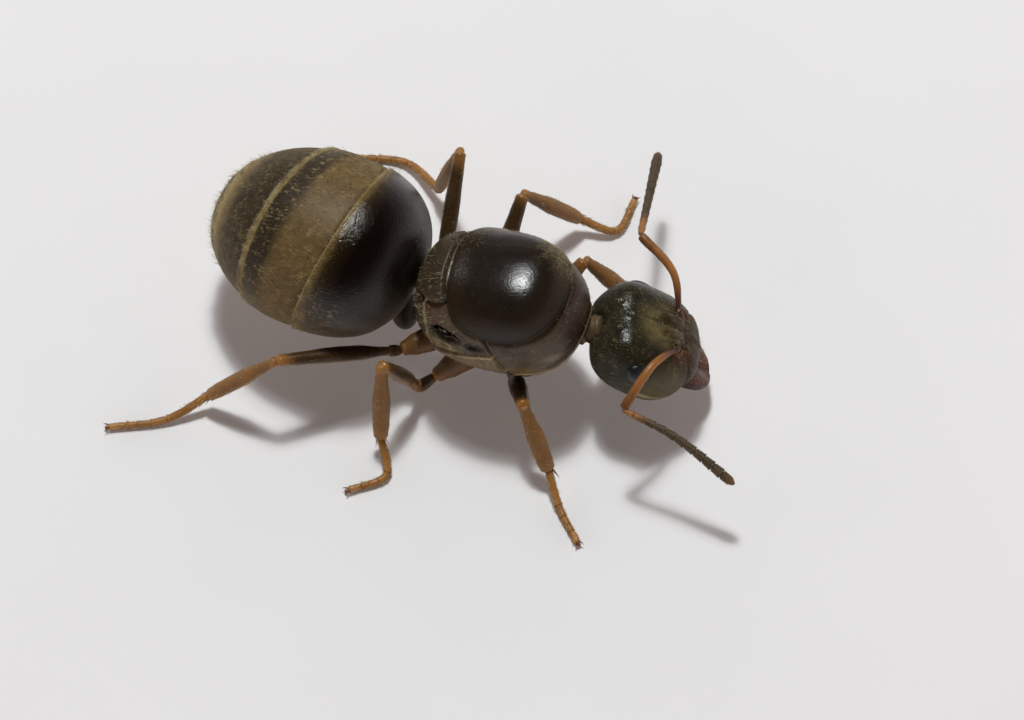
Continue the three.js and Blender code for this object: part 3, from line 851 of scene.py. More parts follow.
@functools.cache
def dome_skins():
    """The scutum and scutellum."""
    scutum = domed_plate(SCUTUM, (0.12, 0, 2.8), scutum_lift, rings=130, spokes=270)
    scutellum = domed_plate(SCUTELLUM, (-0.98, 0, 2.35), scutellum_lift, rings=68, spokes=180)
    return scutum, scutellum


def gaster_share(x):
    """The gaster's radius at a place along it, as a share of its widest."""
    ahead = np.where(x > 0, GASTER_REACH["front"], GASTER_REACH["back"])
    power = np.where(x > 0, GASTER_POWER["front"], GASTER_POWER["back"])
    return np.maximum(0, 1 - np.minimum(np.abs(x) / ahead, 1) ** power) ** (1 / power)


LIP = 0.028  # how far a gaster plate's hind margin stands over the next plate
RING_GAP = 0.022  # between the rings of a gaster plate


@functools.cache
def gaster_skins():
    """Five plates, each with its hind margin standing over the front of the next."""
    angle = spoke_angles(304)
    made = []
    for index, (ahead, behind) in enumerate(zip(TERGITE_EDGES[:-1], TERGITE_EDGES[1:])):
        first, last = index == 0, index == len(TERGITE_EDGES) - 2
        front, back = ahead[0], behind[0]
        start = front + (0.0 if first else 0.12)
        turn = np.linspace(0, math.pi / 2, 400)
        gone = 1 - np.cos(turn) if first else np.sin(turn) if last else turn / turn[-1]
        x = start - (start - back) * gone
        share = np.clip((front - x) / (front - back), 0, 1)
        raised = (0 if last else LIP) * share ** 0.6
        if not first:
            raised = raised - 0.035 * smooth(x, front - 0.03, front + 0.04)
        raised = raised - (0 if last else 0.006) * bell(x - back - 0.055, 0.02)
        profile = stacked(x, gaster_share(x) + raised * (gaster_share(x) > 0))
        run = run_along(profile)
        rings = max(36, int(run[-1] / RING_GAP))
        even = np.linspace(0, 1, rings)
        even = even if last else 1 - (1 - even) ** 1.25
        stops = even * run[-1]
        x, radius, share = (np.interp(stops, run, v) for v in (profile[:, 0], profile[:, 1], share))
        if not last:
            x = np.concatenate((x, back - LIP * np.array((0.18, 0.25, 0.2)), back + np.array((0.02, 0.1))))
            fold = radius[-1] - LIP * np.array((0.15, 0.5, 0.85, 1.0, 1.1))
            radius, share = np.concatenate((radius, fold)), np.concatenate((share, np.ones(5)))
        radius = np.maximum(radius, 0.004)
        below = np.abs(np.degrees((angle - 1.5 * math.pi + math.pi) % (2 * math.pi) - math.pi)) - 52
        groove = -0.022 * bell(below, 1.3) - 0.014 * (1 - smooth(below, -1, 1))
        ring = np.maximum(radius[:, None] + groove[None] * smooth(radius, 0.1, 0.5)[:, None], 0.002)
        y, z = ring * np.cos(angle) * GASTER_REACH["side"], ring * np.sin(angle)
        z = z * np.where(z > 0, GASTER_REACH["up"], GASTER_REACH["down"])
        left, top = (ahead[k] + (behind[k] - ahead[k]) * share[:, None] for k in (1, 2))
        leant = x[:, None] + left * y + top * z
        fit = gaster_share(leant) / np.maximum(gaster_share(x), 1e-3)[:, None]
        fit = np.where(gaster_share(x)[:, None] > 0.01, fit, 1.0)
        made.append(Skin(posed(stacked(leant, y * fit, z * fit), GASTER), share))
    return made


@functools.cache
def waist_skins():
    """The upright scale of the waist and the stalk it stands on."""
    polar = pole_to_pole(50, 0.03)
    spec = {**PETIOLE, "centre": (0, 0, 0)}
    scale = ovoid_shell(spec, around_x(polar, spoke_angles(90)[None]))
    height = scale[..., 2] / PETIOLE["up"]
    thin = 1 - 0.45 * smooth(height, -0.2, 1.0)
    notch = 0.035 * bell(scale[..., 1], 0.12) * smooth(height, 0.5, 1.0)
    slim = 1 - 0.12 * smooth(height, 0.2, 1)
    scale = stacked(scale[..., 0] * thin, scale[..., 1] * slim, scale[..., 2] - notch)
    pose = dict(centre=PETIOLE["centre"], yaw=0, pitch=PETIOLE_LEAN, roll=0)
    profile = [(0, 0.15), (0.3, 0.17), (0.6, 0.19), (0.85, 0.15), (1, 0.13)]
    stalk = swept(STALK, profile, rings=24, spokes=32)
    return Skin(posed(scale, pose)), stalk


def head_lift(points):
    """The head's clypeus, ridges, sockets, furrows and rims, from its own frame."""
    x, y, z = points[..., 0], points[..., 1], points[..., 2]
    side = np.abs(y)
    face = smooth(z, 0.05, 0.25)
    clypeus = x - 0.37 - 0.7 * side ** 2
    front = smooth(x, 0.25, 0.4)
    lift = front * face * (0.02 * smooth(clypeus, 0.0, 0.12) - 0.02 * bell(clypeus, 0.018))
    lift += face * 0.022 * bell(y, 0.06) * smooth(clypeus, 0.02, 0.15)
    lift += 0.02 * bell(x - 0.86, 0.03) * (1 - smooth(side, 0.3, 0.45)) * smooth(z, -0.2, 0.0)
    lobe = np.hypot((x - 0.16) / 0.24, (side - 0.13) / 0.14)
    lift += face * 0.05 * (1 - smooth(lobe, 0.35, 1.25))
    ridge = side - 0.26 - 0.2 * np.maximum(0, 0.3 - x) ** 2 + 0.9 * np.maximum(0, x - 0.3) ** 2
    lift += face * 0.035 * bell(ridge, 0.022) * within(x, 0.0, 0.45, 0.06)
    fossa = np.hypot(x - SOCKET[0] - 0.01, side - SOCKET[1] - 0.05)
    lift = lift - face * 0.06 * bell(fossa, 0.085) + face * 0.012 * bell(fossa - 0.15, 0.03)
    lift -= face * 0.014 * bell(y, 0.014) * within(x, -0.4, 0.28, 0.05)
    eye = (stacked(x, side, z) - np.array(EYE["at"])) @ turning(roll=-EYE["out"])
    share = p_norm(eye / np.array((EYE["length"] / 2, EYE["height"] / 2, EYE["depth"])), 2) / EYE_SHOWS
    lift = lift - 0.01 * bell(share - 1.02, 0.05) + 0.004 * bell(share - 1.15, 0.06)
    for place in OCELLI.values():
        away = np.linalg.norm(points - np.array(place), axis=-1)
        lift = lift + 0.007 * bell(away - 0.062, 0.022) - 0.015 * bell(away, 0.04)
    jaw = np.hypot(x - 0.7, side - 0.5)
    lift -= 0.04 * bell(jaw, 0.09) * bell(z + 0.05, 0.2)
    lift += 0.015 * bell(jaw - 0.15, 0.04) * bell(z, 0.25)
    lift += 0.02 * bell(x + 0.55, 0.25) * bell(side - 0.5, 0.25) * face
    under = 1 - smooth(z, -0.3, -0.1)
    lift -= under * 0.018 * bell(y, 0.016) * within(x, -0.6, 0.35, 0.08)
    mouth = np.hypot((x - 0.62) / 0.26, y / 0.3)
    lift = lift - under * 0.07 * (1 - smooth(mouth, 0.75, 1.1)) + under * 0.02 * bell(mouth - 1.25, 0.15)
    neck = np.hypot(y / 0.26, (z + 0.05) / 0.24)
    return lift - 0.05 * smooth(-x, 0.6, 0.8) * (1 - smooth(neck, 0.6, 1.1))


@functools.cache
def head_skin():
    """The head: boxy, narrower towards the jaws and hollowed behind."""
    polar = pole_to_pole(180, 0.025)
    ways = around_x(polar, spoke_angles(308)[None])
    share = ways / p_norm(ways, CAPSULE["power"])[..., None]
    narrowing = 1 - CAPSULE["narrow"] * np.maximum(0, share[..., 0]) ** 2
    dip = CAPSULE["notch"] * np.maximum(0, -share[..., 0]) * np.maximum(0, 1 - (2 * ways[..., 1]) ** 2)
    base = share * radii(CAPSULE, ways)
    base = stacked(base[..., 0] + dip, base[..., 1] * narrowing, base[..., 2])
    return Skin(base, None, head_lift(base)).posed(HEAD)


def eye_skin(side, facet=0.019):
    """One compound eye: a domed cap of six-sided lenses."""
    angle = spoke_angles(232)
    tilt = np.concatenate((np.linspace(0.008, 1.62, 80), (1.8, 2.1)))[:, None]
    half = np.array((EYE["length"] / 2, EYE["height"] / 2, EYE["depth"])) * EYE_SHOWS
    ways = around_x(tilt, angle)[..., (1, 2, 0)]
    a, b = half[0] * tilt * np.cos(angle), half[1] * tilt * np.sin(angle)
    row = facet * math.sqrt(3)
    from_one = np.hypot((a + facet / 2) % facet - facet / 2, (b + row / 2) % row - row / 2)
    from_two = np.hypot(a % facet - facet / 2, b % row - row / 2)
    lens = 1 - (np.minimum(from_one, from_two) / (facet * 0.56)) ** 2
    skin = Skin(ways * half, None, 0.0035 * lens)
    turn = turning(roll=-side * EYE["out"])
    place = sided(EYE["at"], side)
    return Skin(posed(skin.rings @ turn.T + place, HEAD), skin.along)


def jaw_outline(spokes):
    """The left jaw from above: curved outside, straight and toothed inside."""
    corners = ((0.56, 0.52), (0.88, 0.5), (1.16, 0.39), (1.32, 0.19), (1.35, -0.02), (1.2, -0.02),
               (1.04, -0.015), (0.9, -0.01), (0.74, 0.04), (0.56, 0.12))
    flat = np.array([(*corner, 0.0) for corner in corners + corners[:1]])
    line = smooth_path(flat, 1200)[:-1, :2]
    closed = np.concatenate((line, line[:1]))
    run = run_along(closed)
    x, y = points_at(np.linspace(0, run[-1], spokes, endpoint=False), run, closed).T
    toothed = within(x, 0.96, 1.33, 0.03) * (y < 0.12)
    teeth = np.abs(np.sin((x - 0.94) / 0.4 * math.pi * 8)) ** 0.7
    return stacked(x, y + toothed * 0.03 * (1 - teeth))[::-1]


def jaw_skin(side):
    """One closed jaw: a blade that thins towards its teeth and curves down at the tip."""
    outline = jaw_outline(212)
    polar = pole_to_pole(36, 0.05)
    middle = np.array((0.92, 0.28))
    spread = np.sin(polar) ** 0.75
    flat = middle + (outline - middle)[None] * spread[..., None]
    x, y = flat[..., 0], flat[..., 1]
    thick = 0.17 - 0.12 * smooth(x, 0.7, 1.34) - 0.03 * (1 - smooth(y, 0.0, 0.3))
    camber = 0.03 - 0.12 * smooth(x, 0.7, 1.4) + 0.05 * bell(y - 0.25, 0.2) - 0.012 * side
    grooves = 0.003 * np.sin(y * 70 + 3 * np.sin(x * 9)) * within(x, 0.8, 1.2, 0.08) * (polar < 1.5)
    rings = stacked(x, y, camber + np.cos(polar) * thick + grooves)
    if side == RIGHT:
        rings = (rings * (1, -1, 1))[:, ::-1]
    return Skin(posed(rings, HEAD), spread[:, 0] * 0.999)


@functools.cache
def mouth_skins():
    """Ring sockets of the antennae, lower lip and the two pairs of palps, on the head."""
    made = []
    for side in SIDES:
        hub = sided(SOCKET, side) + (0.0, side * 0.02, -0.03)
        turn = np.linspace(0, 2 * math.pi, 25)[:-1]
        ring = [hub + 0.085 * np.array((math.cos(t), math.sin(t), 0.15 * math.cos(t))) for t in turn]
        made.append(torus(np.array(ring), 0.022))
        palp = np.array(((0.62, 0.16, -0.42), (0.8, 0.2, -0.56), (0.86, 0.24, -0.68), (0.72, 0.27, -0.78)))
        palp_size = ringed_radius(0.03, 0.018, (0.2, 0.38, 0.56, 0.74, 0.88))
        made.append(swept(palp * (1, side, 1), palp_size, rings=80, spokes=16))
        small = np.array(((0.74, 0.06, -0.4), (0.9, 0.08, -0.5), (0.92, 0.1, -0.6)))
        small_size = ringed_radius(0.024, 0.015, (0.3, 0.6, 0.8))
        made.append(swept(small * (1, side, 1), small_size, rings=50, spokes=14))
    made.append(button((0.62, 0, -0.4), (0.35, 0, -1), 0.42, 0.36, 0.2, rings=30, spokes=48))
    made.append(button((0.8, 0, -0.3), (0.6, 0, -1), 0.3, 0.3, 0.22, rings=30, spokes=48))
    return [skin.posed(HEAD) for skin in made]


def torus(centres, radius, spokes=12):
    """A closed ring through the centres, as a skin bent round on itself."""
    middle = centres.mean(axis=0)
    outward = unit(centres - middle)
    along = unit(np.roll(centres, -1, axis=0) - np.roll(centres, 1, axis=0))
    upright = np.cross(outward, along)
    angle = spoke_angles(spokes)[None, :, None]
    ring = outward[:, None] * np.cos(angle) + upright[:, None] * np.sin(angle)
    rings = centres[:, None] + radius * ring
    return Skin(np.concatenate((rings, rings[:1])))


def ringed_radius(start, end, joints, waist=0.62, width=0.012):
    """Radius stops along a jointed limb that pinches in at each joint and flares before it."""
    stops = [(0.0, start)]
    for joint in joints:
        size = start + (end - start) * joint
        stops += [(joint - 2.5 * width, size), (joint - width, size * 1.1), (joint, size * waist),
                  (joint + width, size * 0.95)]
    return stops + [(1.0, end)]


# ---------- limb skins ----------
@functools.cache
def antenna_skins(side, girth):
    """Scape and whip of one antenna."""
    scape_way, scape_bow, whip_way, whip_bow = ANTENNAE[side]
    root = posed(sided(SOCKET, side), HEAD)
    elbow = step(root, SCAPE_LENGTH, *scape_way, side)
    tip = step(elbow, WHIP_LENGTH, *whip_way, side)
    middle = (root + elbow) / 2 + scape_bow
    half = (elbow + tip) / 2 + whip_bow
    bulb = [(0, 0.045), (0.03, 0.062), (0.065, 0.058), (0.1, 0.036), (0.14, 0.044), (0.35, 0.057),
            (0.75, 0.068), (0.93, 0.074), (0.98, 0.068), (1, 0.05)]
    scape = swept((root, middle, elbow), bulb, girth, rings=110, spokes=30)
    joints = [WHIP_RINGS[0] + WHIP_RINGS[1] * k for k in range(10)]
    whip = ringed_radius(0.05, 0.082, joints, waist=0.68, width=0.009)
    whip = [(0, 0.036), (0.02, 0.04)] + whip[1:-1] + [(0.95, 0.07), (1.0, 0.034)]
    return scape, swept((elbow, half, tip), whip, girth, rings=340, spokes=28, cap=0.9)


def leg_points(side, pair):
    """The joints of one leg: body, hip, knee, ankle, ball of the foot and tip of the foot."""
    size = LEG_SIZES[pair]
    hip, femur, tibia, tarsus = LEG_POSES[side, pair]
    root, hip = (sided(place, side) for place in (size["coxa"], hip))
    knee = step(hip, size["femur"], *femur, side)
    ankle = step(knee, size["tibia"], *tibia, side)
    ball = step(ankle, size["tarsus"][0], tarsus[0], 0, side)
    toe = step(ball, size["tarsus"][1], tarsus[1], 0, side)
    ball[2], toe[2] = FOOT_HEIGHT
    ball[:2] += FOOT_ASIDE
    toe[:2] += FOOT_ASIDE
    return root, hip, knee, ankle, ball, toe


def spur(base, way, length, radius, droop=0.25):
    """A curved pointed spine or claw."""
    way = unit(np.array(way, float))
    middle = np.array(base) + way * length * 0.55
    tip = np.array(base) + way * length - (0, 0, droop * length)
    profile = [(0, 1), (0.4, 0.75), (0.8, 0.35), (1, 0.1)]
    return swept((base, middle, tip), profile, radius, rings=12, spokes=12)


@functools.cache
def leg_skins(side, pair, girth):
    """Coxa, trochanter with femur, tibia with its spurs, and tarsus, then the claws and pad."""
    root, hip, knee, ankle, ball, toe = leg_points(side, pair)
    bulk = {"fore": 1.12, "mid": 1.08, "hind": 1.02}[pair] * girth
    thigh, haunch = unit(knee - hip), unit(hip - root)
    short = TROCHANTER_BACK.get((side, pair), 0.03)
    coxa_end = hip - haunch * (short - 0.03)
    outline = [(0, 0.15), (0.25, 0.2), (0.6, 0.17), (0.9, 0.115), (1, 0.09)]
    coxa = swept((root, coxa_end), outline, bulk, rings=44, spokes=36)
    throat = (hip - haunch * short, hip, hip + thigh * 0.2)
    outline = [(0, 0.07), (0.5, 0.092), (0.85, 0.09), (1, 0.07)]
    throat = swept(throat, outline, bulk, rings=28, spokes=28)
    femur = (hip + thigh * 0.13, (hip + knee) / 2 + (0, 0, 0.03), knee)
    outline = [(0, 0.06), (0.07, 0.075), (0.3, 0.122), (0.5, 0.126), (0.78, 0.106), (0.92, 0.094),
               (0.97, 0.094), (1, 0.078)]
    femur = swept(femur, outline, bulk, rings=84, spokes=40, flat=0.86)
    shin = unit(ankle - knee)
    outline = [(0, 0.07), (0.04, 0.082), (0.1, 0.078), (0.22, 0.096), (0.5, 0.128), (0.8, 0.12),
               (0.95, 0.105), (1, 0.085)]
    tibia = swept((knee - shin * 0.02, ankle), outline, bulk, rings=84, spokes=40, flat=0.84)
    foot = unit(ball - ankle)
    aside = unit(np.cross(foot, (0, 0, 1)))
    heel, apart = ankle - shin * 0.05, aside * 0.05 * girth
    if pair == "fore":
        spurs = [spur(heel - apart, foot - aside * 0.5, 0.2, 0.02, 0.1)]
    else:
        spurs = [spur(heel + apart * k, foot * 0.8 + aside * 0.3 * k, 0.15, 0.012) for k in (1, -1)]
    joints = (0.46, 0.62, 0.745, 0.84)
    outline = [(0, 0.046), (0.025, 0.06)] + ringed_radius(0.064, 0.05, joints, waist=0.7, width=0.011)[1:]
    tarsus = swept((ankle - foot * 0.035, ball, toe), outline, girth, rings=190, spokes=26)
    ahead = unit((toe - ball) * (1, 1, 0))
    across = np.array((-ahead[1], ahead[0], 0))
    claws = []
    for k in (1, -1):
        base, way = toe - ahead * 0.02 + across * 0.018 * k, ahead + across * 0.55 * k + (0, 0, 0.5)
        claws.append(spur(base, way, 0.12, 0.016, 0.42))
    pad = toe + ahead * 0.035 - (0, 0, 0.008)
    claws.append(button(pad, ahead + (0, 0, 0.4), 0.075, 0.05, 0.05, rings=12, spokes=18))
    return dict(coxa=[coxa], femur=[throat, femur], tibia=[tibia] + spurs, tarsus=[tarsus], claws=claws)


@functools.cache
def neck_skin():
    """The folded skin between collar and head."""
    joints = (0.3, 0.55, 0.8)
    return swept(NECK, ringed_radius(0.22, 0.19, joints, 0.9, 0.03), rings=48, spokes=40, cap=0.3)


@functools.cache
def wing_root_skins():
    """The worn stubs and small plates left where the wings broke off."""
    plates = (  # the middle of each, its width, height and thickness in mm, and its turn in degrees
        ((-0.43, 0.935, 2.03), (0.15, 0.07, 0.1), 24), ((-0.55, 0.9, 1.96), (0.17, 0.055, 0.09), -12),
        ((-0.68, 0.865, 2.04), (0.11, 0.075, 0.1), 40), ((-0.78, 0.84, 1.97), (0.1, 0.05, 0.08), 10),
        ((-0.3, 0.965, 1.985), (0.1, 0.045, 0.08), 65), ((-0.6, 0.93, 2.1), (0.1, 0.035, 0.06), 5),
    )
    return [
        button((x, y * side, z), (0.0, side, 0.35), *size, rings=16, spokes=24, turn=turn * side)
        for side in SIDES for (x, y, z), size, turn in plates
    ]


# ---------- finishes ----------
def own_place(finish):
    """The place in the ant's own frame: along it, out to either side, and up."""
    nodes = finish.nodes
    x, y, z = nodes.split(finish.place)
    across = nodes.maths("SUBTRACT", y, float(SHIFT[1]))
    return nodes.maths("SUBTRACT", x, float(SHIFT[0])), nodes.maths("ABSOLUTE", across), z


def head_place(finish):
    """The place in the head's own frame, as a vector."""
    turn = turning(HEAD["yaw"], HEAD["pitch"], HEAD["roll"])
    shift = -(np.array(HEAD["centre"]) + SHIFT) @ turn
    spin = Matrix(turn.T.tolist()).to_euler("XYZ")
    inputs = {"Vector": finish.place, "Location": tuple(shift), "Rotation": tuple(spin)}
    return finish.nodes.add("Mapping", inputs, vector_type="POINT").outputs[0]


SHELL_IOR = 1.56
MATT_ADDS = 0.28  # how much rougher a shell is where it is matt
DOWN_ADDS = 0.2  # and where flat hairs cover it
PIT_TONE = "120c07"
SHEEN_TONE = "d2c08c"


def shell(name, tint, tones=None, cells=45.0, pits=9.0, depth=0.004, strength=0.5, dull=(0.25, 0.4),
          down=None, gloss=0.0, shine=0.5, sheen=0.0, matt=None, pitted=0.45):
    """Insect shell. tint(finish, mottle, tones) gives its colour. cells and pits are per mm, depth is
    in mm, and dull is its roughness where the grain is low and where it is high. down is (hairs per
    mm, cover, colour, share) for the bloom of short flat hairs, and matt(finish) says where the shell
    is rougher; the share may be such a function too."""
    finish = Finish(name)
    nodes = finish.nodes
    grain = nodes.group(shared("grain"), Place=finish.place, Cells=cells, Pits=pits)
    tone = tint(finish, grain["Mottle"], tones)
    height = grain["Height"]
    roughness = nodes.rise(height, 0.2, 1.1, *dull)
    if matt:
        roughness = nodes.maths("MULTIPLY_ADD", matt(finish), MATT_ADDS, roughness)
    tone = nodes.over(tone, colour(PIT_TONE), grain["Pit"], pitted)
    if down:
        hairs, cover, shade, share = down
        share = share(finish) if callable(share) else share
        lying = nodes.group(shared("down"), Place=finish.place, Hairs=hairs, Cover=cover)
        share = nodes.times(lying["Speckle"], share)
        tone = nodes.over(tone, shade, share)
        roughness = nodes.maths("MULTIPLY_ADD", share, DOWN_ADDS, roughness)
        height = nodes.maths("MULTIPLY_ADD", lying["Height"], 0.9, height)
    finish.link(tone, "Base Color")
    finish.link(roughness, "Roughness")
    finish.bump(height, depth, strength)
    finish.set(IOR=SHELL_IOR, Specular_IOR_Level=shine, Coat_Weight=gloss, Coat_Roughness=0.12)
    finish.set(Sheen_Weight=sheen, Sheen_Roughness=0.4, Sheen_Tint=colour(SHEEN_TONE))
    return finish.material


def marbled(finish, mottle, tone, amount=0.35):
    """The colour, darkened in broad clouds."""
    share = finish.nodes.times(mottle, amount)
    return finish.nodes.blend(share, tone, (0.25, 0.22, 0.2, 1.0), "MULTIPLY")


def plain(tone, amount=0.5):
    """A tint of one colour in clouds."""
    return lambda finish, mottle, tones: marbled(finish, mottle, tone, amount)


def banded(finish, mottle, stops, amount=0.3, ragged=0.05):
    """Colours in bands along the skin, with slightly uneven borders."""
    nodes = finish.nodes
    uneven = nodes.noise(finish.place, 7.0, 4.0, 0.65)
    share = nodes.maths("MULTIPLY_ADD", nodes.maths("SUBTRACT", uneven, 0.5), ragged, finish.along)
    return marbled(finish, mottle, nodes.ramp(share, stops), amount)


def tint_scutum(finish, mottle, tones):
    """Near black, a little browner towards the rim, where the olive is partly the flat hairs' own tone and
    partly painted sheen of light on them, with a pale line along its hind border.
    """
    nodes = finish.nodes
    dark = tones.scutum
    # the rim band is partly painted sheen: the olive of light caught in the flat hairs near the border
    stops = [(0.0, dark), (0.6, dark), (0.9, tones.rim), (0.985, dark), (1.0, dark)]
    x, side, _ = own_place(finish)
    tone = banded(finish, mottle, stops, 0.3, 0.12)
    behind = nodes.times(nodes.line(finish.along, 0.965, 0.022), nodes.rise(x, -0.35, -0.5))
    return nodes.over(tone, tones.edge, nodes.times(behind, nodes.rise(side, 0.25, 0.55, 0.6, 0.0)))


def tint_scutellum(finish, mottle, tones):
    """Soft olive brown, paler and then darker towards its border."""
    dome = tones.scutellum
    stops = [(0.0, dome), (0.8, dome), (0.94, tones.flank), (1.0, tones.scutum)]
    return banded(finish, mottle, stops, 0.5, 0.1)


def tint_collar(finish, mottle, tones):
    """Brown, darker red in front, olive below, with painted shade under the scutum, in a crease and under
    the lower margin, and along that margin a pale painted reflection of the floor.
    """
    nodes = finish.nodes
    x, side, z = own_place(finish)
    place = nodes.joined(x, side, z)
    ahead = nodes.maths("MAXIMUM", nodes.maths("SUBTRACT", x, COLLAR_RISE[1]), 0.0)
    border = nodes.maths("MULTIPLY_ADD", nodes.maths("POWER", ahead, 2.0), COLLAR_RISE[2], COLLAR_RISE[0])
    margin = nodes.maths("SUBTRACT", z, border)
    # olive below: partly the hairs' own tone, partly painted light from the floor on the lower side
    olive = nodes.times(nodes.rise(margin, 0.2, 0.34, 1.0, 0.0), nodes.rise(x, 0.95, 1.1, 1.0, 0.0))
    tone = nodes.over(tones.flank, tones.flank_low, olive, 0.85)
    front = nodes.rise(nodes.maths("MULTIPLY_ADD", side, -0.55, x), 0.72, 1.02)
    tone = nodes.over(tone, colour("2a140b"), front, 0.85)
    pale = nodes.patch(place, (1.07, 0.75, 1.8), (0.15, 0.3, 0.09), 0.6)
    tone = nodes.over(tone, colour("85796c"), pale, 0.6)
    # painted shade: a dark patch below the scutum's rim, where its shadow falls
    shade = nodes.patch(place, (0.45, 1.0, 2.05), (0.28, 0.3, 0.12), 0.6)
    tone = nodes.over(tone, colour("2a1a12"), shade, 0.7)
    # painted shade in the crease above the lower margin
    cleft = nodes.times(nodes.line(margin, 0.17, 0.05), nodes.rise(x, 0.85, 1.0))
    tone = nodes.over(tone, tones.hollow, cleft, 0.9)
    # painted shade under the lower margin, where it turns in
    tone = nodes.over(tone, tones.hollow, nodes.rise(margin, -0.03, 0.0, 0.9, 0.0))
    # painted reflection: a pale line along the raised lower margin, standing for the bright floor seen in
    # it
    tone = nodes.over(tone, tones.edge, nodes.line(margin, 0.025, 0.035), 0.85)
    return marbled(finish, mottle, tone, 0.45)


def tint_flank(finish, mottle, tones):
    """Pale olive between two ridges, partly painted floor light, with painted shade blackening the wing
    socket and darkening the hollow ahead of it, a pale painted highlight on the wing ridge and a pale
    painted floor reflection on the lower ridge.
    """
    nodes = finish.nodes
    x, side, z = own_place(finish)
    place = nodes.joined(x, side, z)
    ridge = nodes.maths("SUBTRACT", z, nodes.maths("MULTIPLY_ADD", x, WING_RIDGE[1], WING_RIDGE[0]))
    off = nodes.maths("ADD", x, -BELLY_RIDGE[1])
    low = nodes.maths("MULTIPLY_ADD", nodes.times(off, off), BELLY_RIDGE[2], BELLY_RIDGE[0])
    belly = nodes.maths("SUBTRACT", z, low)
    # pale olive below the wing ridge: partly the hairs' own tone, partly painted light from the floor
    tone = nodes.blend(nodes.rise(ridge, 0.02, 0.07), tones.flank_low, tones.flank)
    tone = nodes.over(tone, tones.rim, nodes.rise(belly, -0.06, 0.0, 0.75, 0.0))
    # painted shade in the hollow ahead of the wing socket and in the socket itself
    hollow = nodes.patch(place, (-0.1, 1.0, 1.95), (0.2, 0.4, 0.11))
    hollow = nodes.maths("MAXIMUM", hollow, nodes.patch(place, *WING_PIT, 0.25))
    tone = nodes.over(tone, tones.hollow, hollow, 0.95)
    rusty = nodes.patch(place, (-0.85, 0.7, 2.25), (0.2, 0.3, 0.14))
    tone = nodes.over(tone, colour("4f2a16"), rusty, 0.7)
    # painted highlight: a pale line along the raised ridge under the wing root
    bright = nodes.times(nodes.line(ridge, 0.0, 0.03), nodes.rise(x, 0.3, 0.5, 0.9, 0.0))
    tone = nodes.over(tone, tones.edge, bright)
    # painted reflection: a pale line along the lower ridge, standing for the bright floor seen in it
    tone = nodes.over(tone, tones.edge, nodes.line(belly, 0.02, 0.03), 0.8)
    return marbled(finish, mottle, tone, 0.35)


def tint_slope(finish, mottle, tones):
    """Brown, with a pale ridge along its front border."""
    nodes = finish.nodes
    z = own_place(finish)[2]
    tone = nodes.blend(nodes.rise(z, 1.0, 1.7), tones.flank, tones.scutellum)
    ridge = nodes.times(nodes.line(finish.along, 0.06, 0.045), nodes.rise(z, 1.25, 1.5, 0.0, 0.85))
    return marbled(finish, mottle, nodes.over(tone, tones.edge, ridge), 0.4)


GASTER_BANDS = (  # each plate's colours from its front to its hind margin
    ((0.0, "first"), (0.6, "first"), (0.86, "band"), (0.965, "gaster"), (0.99, "margin"), (1.0, "margin")),
    ((0.0, "gaster"), (0.56, "gaster"), (0.68, "band"), (0.92, "band"), (0.955, "margin"), (1.0, "margin")),
    ((0.0, "band"), (0.6, "band"), (0.8, "gaster"), (0.93, "margin"), (1.0, "margin")),
    ((0.0, "band"), (0.6, "band"), (0.86, "gaster"), (0.93, "margin"), (1.0, "margin")),
    ((0.0, "band"), (0.7, "gaster"), (1.0, "margin")),
)


def tint_gaster(bands):
    """A gaster plate: bands along it, olive low down, which on the black first plate is partly painted
    floor light, and a paler plate on the belly.
    """

    def tint(finish, mottle, tones):
        nodes = finish.nodes
        off_keel = nodes.maths("ABSOLUTE", nodes.maths("SUBTRACT", finish.around, 0.75))
        stops = [(share, tuple(getattr(tones, key))) for share, key in bands]
        tone = banded(finish, mottle, stops, 0.25, 0.05)
        # olive low down: partly the hairier sides' own tone, partly painted light from the floor on the
        # lower sides
        low = nodes.rise(own_place(finish)[2], 1.2, 2.3, 0.7, 0.0)
        tone = nodes.over(tone, colour("4c3d24"), low)
        return nodes.over(tone, tones.belly, nodes.rise(off_keel, 0.13, 0.15, 0.55, 0.0))

    return tint


def tint_head(finish, mottle, tones):
    """Dark olive, yellower between the antennae, red-brown round their sockets and before the jaws,
    with a pale painted floor reflection along the lower cheek edges."""
    nodes = finish.nodes
    x, y, z = nodes.split(head_place(finish))
    side = nodes.maths("ABSOLUTE", y)
    place = nodes.joined(x, side, z)
    cheek = nodes.times(nodes.rise(side, 0.5, 0.72), nodes.rise(x, -0.2, 0.1))
    tone = nodes.over(tones.head, tones.cheek, cheek, 0.8)
    forehead = nodes.patch(place, (-0.04, 0.14, 0.58), (0.34, 0.26, 0.5), 0.6)
    tone = nodes.over(tone, tones.forehead, nodes.times(forehead, nodes.rise(mottle, 0.0, 1.0, 1.0, 0.3)))
    lobes = nodes.patch(place, (0.14, 0.13, 0.62), (0.2, 0.13, 0.5), 0.3)
    tone = nodes.over(tone, tones.face, lobes, 0.7)
    lip = nodes.maths("MULTIPLY_ADD", nodes.times(side, side), -0.7, x)
    tone = nodes.over(tone, tones.face, nodes.rise(lip, 0.33, 0.4))
    sockets = nodes.patch(place, (0.36, 0.42, 0.5), (0.2, 0.16, 0.5), 0.5)
    tone = nodes.over(tone, tones.socket, sockets, 0.8)
    mouth = nodes.rise(nodes.maths("ADD", x, nodes.times(side, 0.2)), 0.78, 0.88, 0.0, 0.5)
    tone = nodes.over(tone, tones.jaw, mouth)
    # painted reflection: a pale line along the lower edge of the head, standing for the bright floor seen
    # in it
    edge = nodes.times(nodes.line(z, -0.17, 0.06), nodes.rise(x, -0.15, 0.1))
    tone = nodes.over(tone, tones.edge, edge, 0.5)
    return marbled(finish, mottle, tone, 0.5)


